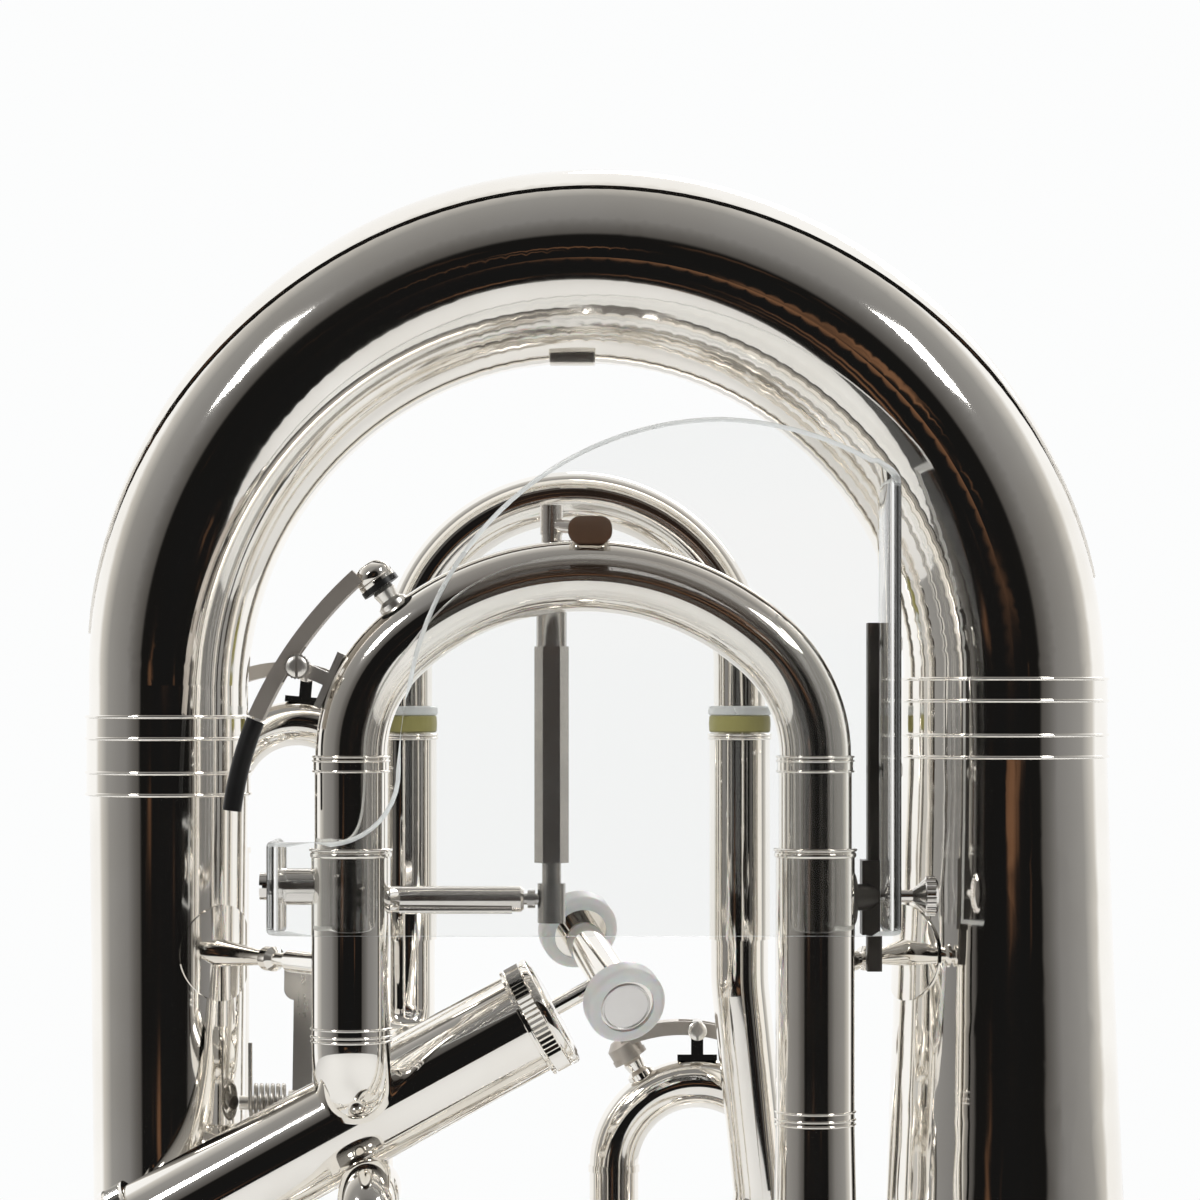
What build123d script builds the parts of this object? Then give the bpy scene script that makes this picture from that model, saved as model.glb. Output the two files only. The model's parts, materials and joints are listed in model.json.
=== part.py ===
from build123d import *

import math
import os

# Compact top-action tuba with three upright valves and a slanting fourth valve, silver plated.
# It stands on its bell: the origin is the middle of the bell mouth on the floor, +Z runs up the bell,
# -Y is the side with the main tuning slide, and the big leg is on -X. Millimetres.

# Bell and the large bows
BELL_FLARE_RADIUS = 216.6
BELL_FLARE_OFFSET = 38.0
BELL_FLARE_POWER = 0.6
BELL_SHEET_Z = 2.5
BELL_WALL = 1.0
RIM_WIDTH = 6.0
RIM_HEIGHT = 5.0
BOW_WALL = 1.0
LEG_SPACING = 300.6
BOW_CENTRE_Z = 716.0
BOW_LEG_RADIUS = 28.5
BOW_CROWN_RADIUS = 34.2
BOW_STUB_LEG = 25.0
BOW_STUB_BELL = 11.5
BOW_BELL_STEP = 0.3
TOP_BOW_Z = 375.0
TOP_BOW_LEG_RADIUS = 25.3
TOP_BOW_CROWN_RADIUS = 22.0
TOP_BOW_BRANCH_RADIUS = 17.5
FERRULE_WALL = 0.9
FERRULE_BEAD = 0.7
FERRULE_BEAD_HEIGHT = 1.3
FERRULE_HEIGHT = 29.0
SOLDER_GAP = 0.02
GUARD_PLATE_THICKNESS = 0.8
GUARD_PLATE_HALF_ANGLE = 38.0
GUARD_PLATE_SPAN = (6.0, 168.0)

# Main tuning slide, in front of the bows
SLIDE_Y = -85.0
SLIDE_LEFT_X = -229.4
SLIDE_RIGHT_X = -72.8
SLIDE_TUBE_RADIUS = 12.3
SLIDE_BOW_RADIUS = SLIDE_TUBE_RADIUS - 0.2
SLIDE_WALL = 0.7
SLIDE_SIDE_ARC = 50.0
SLIDE_CROWN_ARC = 92.5
SLIDE_BOW_Z = 692.0
SLIDE_JOINT_Z = 689.4
SLIDE_END_Z = 600.0
SLEEVE_TOP_Z = 661.0
SLEEVE_WALL = 0.95
RUNNING_CLEARANCE = 0.05
BRANCH_START_Z = 567.0
ELBOW_START_Z = 595.0
ELBOW_RADIUS = 14.0
ELBOW_TURN = 75.0

# Fourth-valve slide, behind
FOURTH_Y = 45.0
FOURTH_LEFT_X = -217.4
FOURTH_RIGHT_X = -93.5
FOURTH_TUBE_RADIUS = 9.65
FOURTH_SLEEVE_RADIUS = 11.3
FOURTH_BOW_Z = 724.1
FOURTH_SLEEVE_TOP_Z = 698.5
FOURTH_SLIDE_END_Z = 640.0
FOURTH_SLEEVE_END_Z = 622.0
FOURTH_BRANCH_Z = 503.0
FOURTH_LEFT_ENTRY_Z = 578.0
FOURTH_BEND_Z = 606.0
FOURTH_SPREAD = 11.0
FOURTH_RETURN_X = -262.0
FOURTH_RETURN_Y = 52.0
FOURTH_RIGHT_ENTRY_Z = 547.0
FOURTH_BENDS = (60.0, 24.0, 20.0, 20.0)
BRANCH_WALL = 1.0
BUMPER_CLEAR_HEIGHT = 3.4
BUMPER_FELT_HEIGHT = 6.4

# Small slides at the back, and the second-valve slide at the front
SMALL_Y = 75.0
SMALL_TUBE_WALL = 0.6
THIRD_CENTRE_X = -260.4
THIRD_BOW_RADIUS = 27.3
THIRD_TUBE_RADIUS = 8.4
THIRD_BOW_Z = 674.7
THIRD_SLEEVE_TOP_Z = 655.0
THIRD_PORT_Z = (455.0, 365.0)
FIRST_CENTRE_X = -108.6
FIRST_BOW_RADIUS = 31.5
FIRST_TUBE_RADIUS = 9.3
FIRST_BOW_Z = 534.0
FIRST_SLEEVE_TOP_Z = 492.0
FIRST_PORT_Z = (424.0, 372.0)
SMALL_ENGAGE = 45.0
SECOND_Z = 368.0
SECOND_BOW_RADIUS = 20.0
SECOND_TUBE_RADIUS = 7.6
SECOND_SLEEVE_FRONT_Y = -32.0
SECOND_SLIDE_BACK_Y = -4.0

# Valves
CASING_RADIUS = 18.25
CASING_WALL = 1.0
VALVE_Y = 22.0
SECOND_VALVE_X = -151.5
CASING_LOW_Z = 315.0
CASING_HIGH_Z = 480.0
CAP_RADIUS = CASING_RADIUS + 1.95
CAP_GAP = 1.0
VALVE_PITCH = 2 * CAP_RADIUS + CAP_GAP
VALVE_X = {
    "first": SECOND_VALVE_X + VALVE_PITCH,
    "second": SECOND_VALVE_X,
    "third": SECOND_VALVE_X - VALVE_PITCH,
}
CAP_HEIGHT = 11.0
CAP_TOP = 3.5
CAP_GROOVES = 36
CAP_CHAMFER = 1.2
GROOVE_RADIUS = 0.75
STEM_RADIUS = 3.0
PISTON_LENGTH = 105.0
PISTON_FELT = 4.0
PISTON_WALL = 1.2
PISTON_PORTS = (24.0, 50.0, 76.0)
PISTON_PORT_RADIUS = 7.0
STEM_LENGTH = 38.0
BUTTON_RADIUS = 11.0
BUTTON_THICKNESS = 6.0
SPRING_RADIUS = CASING_RADIUS - 5.25
SPRING_WIRE = 1.4
FOURTH_VALVE_SETBACK = 29.75
CAP_POINT = (-161.0, -CASING_RADIUS - FOURTH_VALVE_SETBACK, 604.1)
FOURTH_VALVE_RISE = 29.0
KNUCKLE_RADIUS = 8.4
KNUCKLE_Z = (436.0, 410.0)
ENTRY_DEPTH = 5.0
LINK_X = -224.2
LINK_FRONT_Y = CAP_POINT[1] - 30.0
LINK_BENDS = (12.0, 24.0)
LINK_WALL = 0.8
LINK_HIGH_Z = 543.0
LINK_LOW_Z = 400.0
LINK_RADIUS = 10.6
LEADPIPE_CORNER = (-52.0, 74.0, 345.0)
LEADPIPE_RADIUS = 7.4
LEADPIPE_REST = (24.0, 96.0, 356.0)
LEADPIPE_BENDS = (70.0, 26.0)
RECEIVER_START = Vector(78, 92, 362)
RECEIVER_DIRECTION = Vector(54, -4, 6).normalized()
RECEIVER_LENGTH = 34.0
RECEIVER_BORE = 6.5
RECEIVER_DEPTH = 28.0

# Hand guard, telescopic rod, spool and trigger
GUARD_FRONT_Y = -109.5
GUARD_THICKNESS = 3.5
GUARD_LEFT_X = -256.5
GUARD_RIGHT_X = -45.0
GUARD_LOW_Z = 632.6
GUARD_TAB_Z = 663.7
GUARD_LEFT_DEPTH = 36.0
GUARD_RIGHT_DEPTH = 54.0
GUARD_SWEEP = ((21.7, 0.0), (37.0, 7.0), (43.5, 24.0), (46.5, 47.0))
GUARD_SHOULDER = (78.5, 111.5)
GUARD_CREST = ((-59.7, 141.0), (-29.0, 135.5))
GUARD_RIGHT_RISE = 121.0
SCREW_HOLE_RADIUS = 1.6
BAR_WIDTH = 5.1
BAR_DEPTH = 9.0
BAR_LOW_Z = 617.8
BAR_HIGH_Z = 737.3
BAR_CENTRE_Y = -61.5
SCREW_Z = (730.0, 687.0)
THUMB_Z = 643.5
THUMB_SHAFT_RADIUS = 2.2
THUMB_HEAD_RADIUS = 6.9
THUMB_NOTCHES = 24
BOSS_Z = 648.0
BOSS_RADIUS = 6.2
BOSS_SCREW_RADIUS = 2.5
ROD_X = -162.0
ROD_Y = -64.0
ROD_HEX_ACROSS = 10.2
ROD_HEX_Z = (655.1, 729.2)
ROD_COLLAR_TOP_Z = 741.0
PLUNGER_RADIUS = 3.5
PLUNGER_LOW_Z = 664.0
PLUNGER_HIGH_Z = 777.5
ROD_ARM_Z = 642.7
ROD_ARM_RADIUS = 4.5
ROD_ARM_START_X = -218.0
BLOCK_CENTRE = (-148.7, 767.9)
BLOCK_SIZE = (14.8, 9.2)
BLOCK_CORNER = 4.0
BLOCK_FRONT_Y = -94.0
BLOCK_DEPTH = 24.0
SPOOL_BARREL_RADIUS = 6.8
SPOOL_FLANGE_RADIUS = 9.5
SPOOL_RING_RADIUS = 13.9
SPOOL_RING_LENGTH = 8.5
SPOOL_REACH = (42.6, 21.8)
SPOOL_STUB = 16.5
BRACE_Z = 621.0
TRIGGER_Y = -10.0
TRIGGER_Z = 567.0
AXLE_RADIUS = 2.5
AXLE_END_X = -240.0
TRIGGER_HUB_X = (-256.5, -247.0)

# Water keys
KEY_BAND = 5.2
KEY_CUP_RADIUS = 6.4
KEY_PAD_RADIUS = 6.8
KEY_NIPPLE_RADIUS = 4.0
KEY_BORE = 2.0
KEY_HINGE_RADIUS = 3.6
KEY_PIN_RADIUS = 1.5
KEY_EAR_IN = 3.6
KEY_EAR_OUT = 5.6
KEY_HINGE_RISE = 11.0
NIPPLE_HEIGHT = 7.0
PAD_THICKNESS = 2.0
MAIN_NIPPLE_ANGLE = 125.0
MAIN_HINGE_ANGLE = 156.0
MAIN_HINGE_RISE = 12.0
MAIN_BAND = ((-47.6, 60.6), (-63.6, 43.5), (-81.9, 13.0))
MAIN_GRIP = ((-82.2, 12.0), (-87.2, -3.0), (-90.2, -18.5))
MAIN_GRIP_RADIUS = 3.2
THIRD_ANGLES = (85.0, 138.0)
FIRST_ANGLES = (90.0, 121.5)
THIRD_TAIL_ANGLE = 60.0
FIRST_TAIL_ANGLE = 66.0

BASE = (Align.CENTER, Align.CENTER, Align.MIN)
UP = Vector(0, 0, 1)


def rod(start, end, radius):
    """A round bar between two points."""
    line = Vector(*end) - Vector(*start)
    return Plane(origin=start, z_dir=line) * Cylinder(radius, line.length, align=BASE)


def cone(start, end, start_radius, end_radius):
    """A round bar that tapers between two points."""
    line = Vector(*end) - Vector(*start)
    return Plane(origin=start, z_dir=line) * Cone(start_radius, end_radius, line.length, align=BASE)


def pipe(start, end, radius, wall):
    """A straight tube between two points."""
    line = Vector(*end) - Vector(*start)
    ring = Circle(radius) - Circle(radius - wall)
    return extrude(Plane(origin=start, z_dir=line) * ring, line.length, dir=line.normalized())


def swept_tube(path, radius, wall):
    """A tube of one size along a path of straight runs and tangent arcs."""
    start = Plane(origin=path @ 0, z_dir=path % 0)
    return sweep(start * (Circle(radius) - Circle(radius - wall)), path=path)


def swept_bar(path, radius):
    """The solid that fills a swept tube to the given radius."""
    start = Plane(origin=path @ 0, z_dir=path % 0)
    return sweep(start * Circle(radius), path=path)


def turned(points, plane):
    """A turned piece: radius and height pairs revolved about the plane's normal."""
    outline = make_face(Plane.XZ * Polyline(*points, close=True))
    return plane * revolve(outline, Axis.Z)


def middle_fit(first, middle, last, share):
    """A smooth run of radii through a first, a middle and a last value."""
    bend = 2 * first - 4 * middle + 2 * last
    slope = last - first - bend
    return first + slope * share + bend * share * share


def bow_planes(start, end, rise, shares):
    """Planes square to a half-round bow that leaves start along rise and comes back to end."""
    centre = (start + end) / 2
    half = (end - start) / 2
    reach = rise * half.length
    side = half.cross(reach).normalized()
    planes = []
    for share in shares:
        angle = math.pi * share
        point = centre - half * math.cos(angle) + reach * math.sin(angle)
        tangent = half * math.sin(angle) + reach * math.cos(angle)
        planes.append(Plane(origin=point, x_dir=side, z_dir=tangent))
    return planes


def tapered_bow(start, end, rise, radii, wall):
    """A half-round bow whose tube grows from one end to the other."""
    shares = [i / 12 for i in range(13)]
    planes = bow_planes(start, end, rise, shares)
    sizes = [middle_fit(*radii, share) for share in shares]
    outer = loft([plane * Circle(size) for plane, size in zip(planes, sizes)])
    inner = loft([plane * Circle(size - wall) for plane, size in zip(planes, sizes)])
    return outer - inner


def ferrule(x, y, low_z, high_z, radius):
    """A joint ferrule: a band with four raised beads round a tube of the given radius."""
    inner = radius + SOLDER_GAP
    band = pipe((x, y, low_z), (x, y, high_z), inner + FERRULE_WALL, FERRULE_WALL)
    gap = high_z - low_z - FERRULE_BEAD_HEIGHT
    bead = FERRULE_WALL + FERRULE_BEAD
    for share in (0.0, 0.28, 0.72, 1.0):
        z = low_z + gap * share
        band += pipe((x, y, z), (x, y, z + FERRULE_BEAD_HEIGHT), inner + bead, bead)
    return band


def ring(x, y, low_z, high_z, inner, outer):
    """A plain ring round an upright tube."""
    return pipe((x, y, low_z), (x, y, high_z), outer, outer - inner)


# ---- bell and bows ----

def bell_radius(z):
    return BELL_FLARE_RADIUS * ((z + BELL_FLARE_OFFSET) / BELL_FLARE_OFFSET) ** -BELL_FLARE_POWER


def bell_inner(z):
    """The point of the inner wall that faces the outer wall at this height."""
    slope = -BELL_FLARE_POWER * bell_radius(z) / (z + BELL_FLARE_OFFSET)
    length = math.hypot(1, slope)
    return (bell_radius(z) - BELL_WALL / length, z + BELL_WALL * slope / length)


BELL_TOP_Z = BOW_CENTRE_Z - BOW_STUB_BELL
BOW_BELL_RADIUS = bell_radius(BELL_TOP_Z) - BOW_BELL_STEP


def make_bell():
    steps = 14
    run = BELL_TOP_Z - BELL_SHEET_Z
    heights = [BELL_SHEET_Z + run * (i / steps) ** 2 for i in range(steps + 1)]
    outer = [(bell_radius(z), 0, z) for z in heights]
    inner = [(bell_inner(z)[0], 0, bell_inner(z)[1]) for z in heights]
    inner[-1] = (bell_radius(BELL_TOP_Z) - BELL_WALL, 0, BELL_TOP_Z)
    outline = [Spline(*outer), Line(outer[-1], inner[-1]), Spline(*inner[::-1]), Line(inner[0], outer[0])]
    sheet = revolve(make_face(outline), Axis.Z)
    wire = Plane.XZ * Pos(rim_radius(), RIM_HEIGHT / 2) * RectangleRounded(RIM_WIDTH, RIM_HEIGHT, 1.9)
    return sheet + revolve(wire, Axis.Z)


def rim_radius():
    return bell_radius(BELL_SHEET_Z) + RIM_WIDTH / 2 - 0.5


def leg_point(z):
    return Vector(-LEG_SPACING, 0, z)


def bell_point(z):
    return Vector(0, 0, z)


def make_bottom_bow():
    radii = (BOW_LEG_RADIUS, BOW_CROWN_RADIUS, BOW_BELL_RADIUS)
    bow = tapered_bow(leg_point(BOW_CENTRE_Z), bell_point(BOW_CENTRE_Z), UP, radii, BOW_WALL)
    leg_low = leg_point(BOW_CENTRE_Z - BOW_STUB_LEG)
    bell_low = bell_point(BELL_TOP_Z)
    bow += pipe(leg_low, leg_point(BOW_CENTRE_Z), BOW_LEG_RADIUS, BOW_WALL)
    bow += pipe(bell_low, bell_point(BOW_CENTRE_Z), BOW_BELL_RADIUS, BOW_WALL)
    tab_z = BOW_CENTRE_Z + LEG_SPACING / 2 - BOW_CROWN_RADIUS
    tab = Pos(-LEG_SPACING / 2 - 5, -9, tab_z + 1.2) * Box(16.0, 9.0, 4.0)
    middle = Vector(-LEG_SPACING / 2, 0, BOW_CENTRE_Z)
    core = Pos(*middle) * Rot(90, 0, 0) * Torus(LEG_SPACING / 2, BOW_CROWN_RADIUS - BOW_WALL / 2)
    return bow + (tab - core)


def make_bow_guard():
    """The guard plate soldered over the outermost line of the bow, pointed at both ends."""
    low, high = GUARD_PLATE_SPAN
    steps = 12
    shares = [(low + (high - low) * i / steps) / 180 for i in range(steps + 1)]
    planes = bow_planes(leg_point(BOW_CENTRE_Z), bell_point(BOW_CENTRE_Z), UP, shares)
    sections = []
    for i, (share, plane) in enumerate(zip(shares, planes)):
        tube = middle_fit(BOW_LEG_RADIUS, BOW_CROWN_RADIUS, BOW_BELL_RADIUS, share) + SOLDER_GAP
        half = GUARD_PLATE_HALF_ANGLE * (1 - abs(2 * i / steps - 1) ** 3) + 2.0
        sections.append(plane * plate_section(tube, half))
    return loft(sections)


def plate_section(tube, half):
    """A bent strip over a tube, from minus half to plus half degrees about the plane's -Y."""
    def at(radius, degrees):
        angle = math.radians(degrees - 90)
        return (radius * math.cos(angle), radius * math.sin(angle))
    out = tube + GUARD_PLATE_THICKNESS
    inner = ThreePointArc(at(tube, -half), at(tube, 0), at(tube, half))
    outer = ThreePointArc(at(out, half), at(out, 0), at(out, -half))
    return make_face([inner, Line(inner @ 1, outer @ 0), outer, Line(outer @ 1, inner @ 0)])


def make_big_leg():
    low = leg_point(TOP_BOW_Z)
    high = leg_point(BOW_CENTRE_Z - BOW_STUB_LEG)
    outer = cone(low, high, TOP_BOW_LEG_RADIUS, BOW_LEG_RADIUS)
    return outer - cone(low, high, TOP_BOW_LEG_RADIUS - BOW_WALL, BOW_LEG_RADIUS - BOW_WALL)


def big_leg_core():
    """The filled big leg, used to cope what is soldered to it."""
    low = leg_point(TOP_BOW_Z)
    high = leg_point(BOW_CENTRE_Z - BOW_STUB_LEG)
    return cone(low, high, TOP_BOW_LEG_RADIUS + SOLDER_GAP, BOW_LEG_RADIUS + SOLDER_GAP)


def branch_point(z):
    return Vector(SLIDE_RIGHT_X, SLIDE_Y, z)


def make_top_bow():
    radii = (TOP_BOW_LEG_RADIUS, TOP_BOW_CROWN_RADIUS, TOP_BOW_BRANCH_RADIUS)
    return tapered_bow(leg_point(TOP_BOW_Z), branch_point(TOP_BOW_Z), -UP, radii, BOW_WALL)


def make_bow_ferrules():
    leg_z = BOW_CENTRE_Z - BOW_STUB_LEG
    half = FERRULE_HEIGHT / 2
    bell_tube = bell_radius(BELL_TOP_Z - half)
    return [
        ferrule(-LEG_SPACING, 0, leg_z - half, leg_z + half, BOW_LEG_RADIUS),
        ferrule(0, 0, BELL_TOP_Z - half, BELL_TOP_Z + half, bell_tube),
        ferrule(-LEG_SPACING, 0, TOP_BOW_Z, TOP_BOW_Z + 18, TOP_BOW_LEG_RADIUS + 0.2),
        ferrule(SLIDE_RIGHT_X, SLIDE_Y, TOP_BOW_Z, TOP_BOW_Z + 14, TOP_BOW_BRANCH_RADIUS),
    ]


# ---- main tuning slide ----

SLEEVE_BORE = SLIDE_TUBE_RADIUS + RUNNING_CLEARANCE
SLEEVE_RADIUS = SLEEVE_BORE + SLEEVE_WALL


def slide_path(start_z):
    """The main bow's centre line: two side arcs joined by a flatter crown arc."""
    left, right = SLIDE_LEFT_X, SLIDE_RIGHT_X
    middle = (left + right) / 2
    side = left + SLIDE_SIDE_ARC
    apart = middle - side
    drop = math.sqrt((SLIDE_CROWN_ARC - SLIDE_SIDE_ARC) ** 2 - apart ** 2)
    turn = math.degrees(math.atan2(drop, apart))
    start = Vector(left, SLIDE_Y, start_z)
    leg = Line(start, (left, SLIDE_Y, SLIDE_BOW_Z))
    frame = Plane.XZ.offset(-SLIDE_Y)
    side_turn = 180 - turn
    left_arc = frame * CenterArc((side, SLIDE_BOW_Z), SLIDE_SIDE_ARC, 180, -turn)
    crown = frame * CenterArc((middle, SLIDE_BOW_Z - drop), SLIDE_CROWN_ARC, side_turn, 2 * turn - 180)
    right_x = right - SLIDE_SIDE_ARC
    right_arc = frame * CenterArc((right_x, SLIDE_BOW_Z), SLIDE_SIDE_ARC, turn, -turn)
    end = Line((right, SLIDE_Y, SLIDE_BOW_Z), (right, SLIDE_Y, start_z))
    return Wire([leg, left_arc, crown, right_arc, end])


def make_main_slide_bow():
    return swept_tube(slide_path(SLIDE_JOINT_Z), SLIDE_BOW_RADIUS, SLIDE_WALL)


def make_main_slide_legs():
    legs = []
    for x in (SLIDE_LEFT_X, SLIDE_RIGHT_X):
        leg = pipe((x, SLIDE_Y, SLIDE_END_Z), (x, SLIDE_Y, SLIDE_JOINT_Z), SLIDE_TUBE_RADIUS, SLIDE_WALL)
        collar = SLIDE_TUBE_RADIUS + 0.45
        leg += ring(x, SLIDE_Y, SLIDE_JOINT_Z - 3, SLIDE_JOINT_Z, SLIDE_TUBE_RADIUS - 0.3, collar)
        leg += ring(x, SLIDE_Y, SLIDE_JOINT_Z, SLIDE_BOW_Z, SLIDE_BOW_RADIUS + SOLDER_GAP, collar)
        legs.append(leg)
    return legs


def sleeve_rod(x, z):
    """A short length of filled sleeve at height z, used to cope what is soldered to it."""
    return rod((x, SLIDE_Y, z - 20), (x, SLIDE_Y, z + 20), SLEEVE_RADIUS + SOLDER_GAP)


def make_right_sleeve():
    low = branch_point(BRANCH_START_Z)
    sleeve = pipe(low, branch_point(SLEEVE_TOP_Z), SLEEVE_RADIUS, SLEEVE_WALL)
    bottom = branch_point(TOP_BOW_Z)
    branch = cone(bottom, low, TOP_BOW_BRANCH_RADIUS, SLEEVE_RADIUS)
    branch -= cone(bottom, low, TOP_BOW_BRANCH_RADIUS - BOW_WALL, SLEEVE_BORE)
    return sleeve + branch


def elbow_path():
    start = Vector(SLIDE_LEFT_X, SLIDE_Y, SLEEVE_TOP_Z)
    corner = Vector(SLIDE_LEFT_X, SLIDE_Y, ELBOW_START_Z)
    arc = Plane.YZ.offset(SLIDE_LEFT_X) * CenterArc(
        (SLIDE_Y + ELBOW_RADIUS, ELBOW_START_Z), ELBOW_RADIUS, 180, ELBOW_TURN
    )
    run = valve_y_gap(arc @ 1)
    end = (arc @ 1) + (arc % 1) * run
    return Wire([Line(start, corner), arc, Line(arc @ 1, end)])


def valve_y_gap(point):
    """How far the elbow still runs to sink into the fourth casing's wall."""
    return CAP_POINT[1] - point.Y - CASING_RADIUS + 8.0


def make_left_sleeve():
    tube = swept_tube(elbow_path(), SLEEVE_RADIUS, SLEEVE_WALL)
    return tube - fourth_rod(CASING_RADIUS + SOLDER_GAP)


def make_sleeve_rings():
    rings = []
    inner = SLEEVE_RADIUS + SOLDER_GAP
    for x, low_z in ((SLIDE_LEFT_X, ELBOW_START_Z + 0.5), (SLIDE_RIGHT_X, BRANCH_START_Z + 0.5)):
        rings.append(ring(x, SLIDE_Y, SLEEVE_TOP_Z - 3.2, SLEEVE_TOP_Z, inner, inner + 0.8))
        rings.append(ring(x, SLIDE_Y, low_z, low_z + 5, inner, inner + 0.58))
    for x in (FOURTH_LEFT_X, FOURTH_RIGHT_X):
        inner = FOURTH_SLEEVE_RADIUS + SOLDER_GAP
        rings.append(ring(x, FOURTH_Y, FOURTH_SLEEVE_TOP_Z - 2.5, FOURTH_SLEEVE_TOP_Z, inner, inner + 0.7))
    return rings


# ---- valves ----

RISE = math.radians(FOURTH_VALVE_RISE)
FOURTH_AXIS = Vector(math.cos(RISE), 0, math.sin(RISE))
CASING_LENGTH = CASING_HIGH_Z - CASING_LOW_Z
CASING_BORE = CASING_RADIUS - CASING_WALL


def valve_plane(name):
    """A plane at the casing's bottom-cap end, its normal running out through that cap."""
    if name == "fourth":
        return Plane(origin=Vector(*CAP_POINT) - FOURTH_AXIS * CAP_TOP, x_dir=(0, 1, 0), z_dir=FOURTH_AXIS)
    return Plane(origin=(VALVE_X[name], VALVE_Y, CASING_HIGH_Z), x_dir=(0, 1, 0), z_dir=(0, 0, 1))


def fourth_rod(radius):
    plane = valve_plane("fourth")
    return plane * Pos(0, 0, -CASING_LENGTH) * Cylinder(radius, CASING_LENGTH, align=BASE)


def upright_rod(name, radius):
    low = (VALVE_X[name], VALVE_Y, CASING_LOW_Z)
    return rod(low, (VALVE_X[name], VALVE_Y, CASING_HIGH_Z), radius)


def make_casing(name, ports):
    """A casing tube with a round port for each tube that meets it."""
    bore = Pos(0, 0, -CASING_LENGTH) * Cylinder(CASING_BORE, CASING_LENGTH, align=BASE)
    blank = Pos(0, 0, -CASING_LENGTH) * Cylinder(CASING_RADIUS, CASING_LENGTH, align=BASE)
    casing = valve_plane(name) * (blank - bore)
    for start, end, radius in ports:
        casing -= rod(start, end, radius)
    return casing


def knurled_cap(hole):
    """A screw cap at z = 0 on the casing's end, its skirt down over the casing."""
    skirt = CAP_HEIGHT - CAP_TOP
    blank = Pos(0, 0, -skirt) * Cylinder(CAP_RADIUS, CAP_HEIGHT, align=BASE)
    blank -= Pos(0, 0, -skirt) * Cylinder(CASING_RADIUS + SOLDER_GAP, skirt, align=BASE)
    blank = chamfer(blank.edges().filter_by(GeomType.CIRCLE).sort_by(Axis.Z)[-1], CAP_CHAMFER)
    groove = Pos(CAP_RADIUS + 0.35, 0, -skirt / 2) * Cylinder(GROOVE_RADIUS, skirt * 0.8)
    blank -= [Rot(0, 0, 360 * i / CAP_GROOVES) * groove for i in range(CAP_GROOVES)]
    if hole:
        blank -= Pos(0, 0, -1) * Cylinder(hole, CAP_HEIGHT, align=BASE)
    return blank


def make_bottom_caps():
    return [valve_plane(name) * knurled_cap(0) for name in VALVE_X]


def top_cap_place(name):
    """Where the cap at the button end sits, its normal running out along the stem."""
    return valve_plane(name) * Pos(0, 0, -CASING_LENGTH) * Rot(180, 0, 0)


def make_top_caps():
    return [top_cap_place(name) * knurled_cap(STEM_RADIUS + RUNNING_CLEARANCE) for name in VALVE_X]


def make_piston(name):
    """Piston and stem in one, with the finger button screwed on the stem's end."""
    place = top_cap_place(name)
    low = -PISTON_FELT
    radius = CASING_BORE - RUNNING_CLEARANCE
    foot = low - PISTON_LENGTH
    blank = Pos(0, 0, foot) * Cylinder(radius, PISTON_LENGTH, align=BASE)
    hollow = Pos(0, 0, foot - 1) * Cylinder(radius - PISTON_WALL, PISTON_LENGTH - 1, align=BASE)
    piston = blank - hollow
    coquilles = [Pos(0, 0, low - height) * Rot(90, 0, height) for height in PISTON_PORTS]
    for coquille in coquilles:
        piston += coquille * Cylinder(PISTON_PORT_RADIUS + PISTON_WALL, 60) & blank
    for coquille in coquilles:
        piston -= coquille * Cylinder(PISTON_PORT_RADIUS, 60)
    piston += Pos(0, 0, low) * Cylinder(STEM_RADIUS, STEM_LENGTH, align=BASE)
    top = low + STEM_LENGTH
    edge = BUTTON_THICKNESS - 1
    outline = [(0, 0), (5, 0), (BUTTON_RADIUS, 2), (BUTTON_RADIUS, edge), (0, BUTTON_THICKNESS)]
    button = turned(outline, Plane.XY)
    return [place * piston, place * Pos(0, 0, top) * button]


def make_valve_spring(name):
    """The return spring between the piston's foot and the bottom cap, as a thin sleeve."""
    length = CASING_LENGTH - PISTON_FELT - PISTON_LENGTH - 1.0
    hollow = Cylinder(SPRING_RADIUS - SPRING_WIRE, length, align=BASE)
    sleeve = Cylinder(SPRING_RADIUS, length, align=BASE) - hollow
    return valve_plane(name) * Pos(0, 0, -length - 0.5) * sleeve


# ---- tubes between the valves and their slides ----

def port_end(name, x, y, z):
    """The point inside an upright casing's wall that a tube from (x, y) aims at."""
    centre = Vector(VALVE_X[name], VALVE_Y, z)
    toward = (Vector(x, y, z) - centre).normalized()
    return centre + toward * (CASING_RADIUS - 3)


def branch_tube(points, radii, tube, wall, casing):
    """A bent tube whose end is coped to a casing."""
    path = FilletPolyline(*points, radius=radii)
    return swept_tube(path, tube, wall) - casing


def link_points():
    """The link tube's centre line, from the front of the fourth casing down and round to the third."""
    start = Vector(LINK_X, CAP_POINT[1] - CASING_RADIUS + ENTRY_DEPTH, LINK_HIGH_Z)
    high = Vector(LINK_X, LINK_FRONT_Y, LINK_HIGH_Z)
    low = Vector(LINK_X, LINK_FRONT_Y, LINK_LOW_Z)
    end = port_end("third", LINK_X, LINK_FRONT_Y, LINK_LOW_Z)
    return [start, high, low, end]


def port(name, x, y, z, radius):
    """A round port through one wall of an upright casing, towards (x, y)."""
    centre = Vector(VALVE_X[name], VALVE_Y, z)
    toward = (Vector(x, y, z) - centre).normalized()
    return (centre, centre + toward * (CASING_RADIUS + 4), radius)


def slide_ports(name, centre_x, bow_radius, heights, radius):
    xs = (centre_x - bow_radius, centre_x + bow_radius)
    return [port(name, x, SMALL_Y, z, radius) for x, z in zip(xs, heights)]


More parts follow.
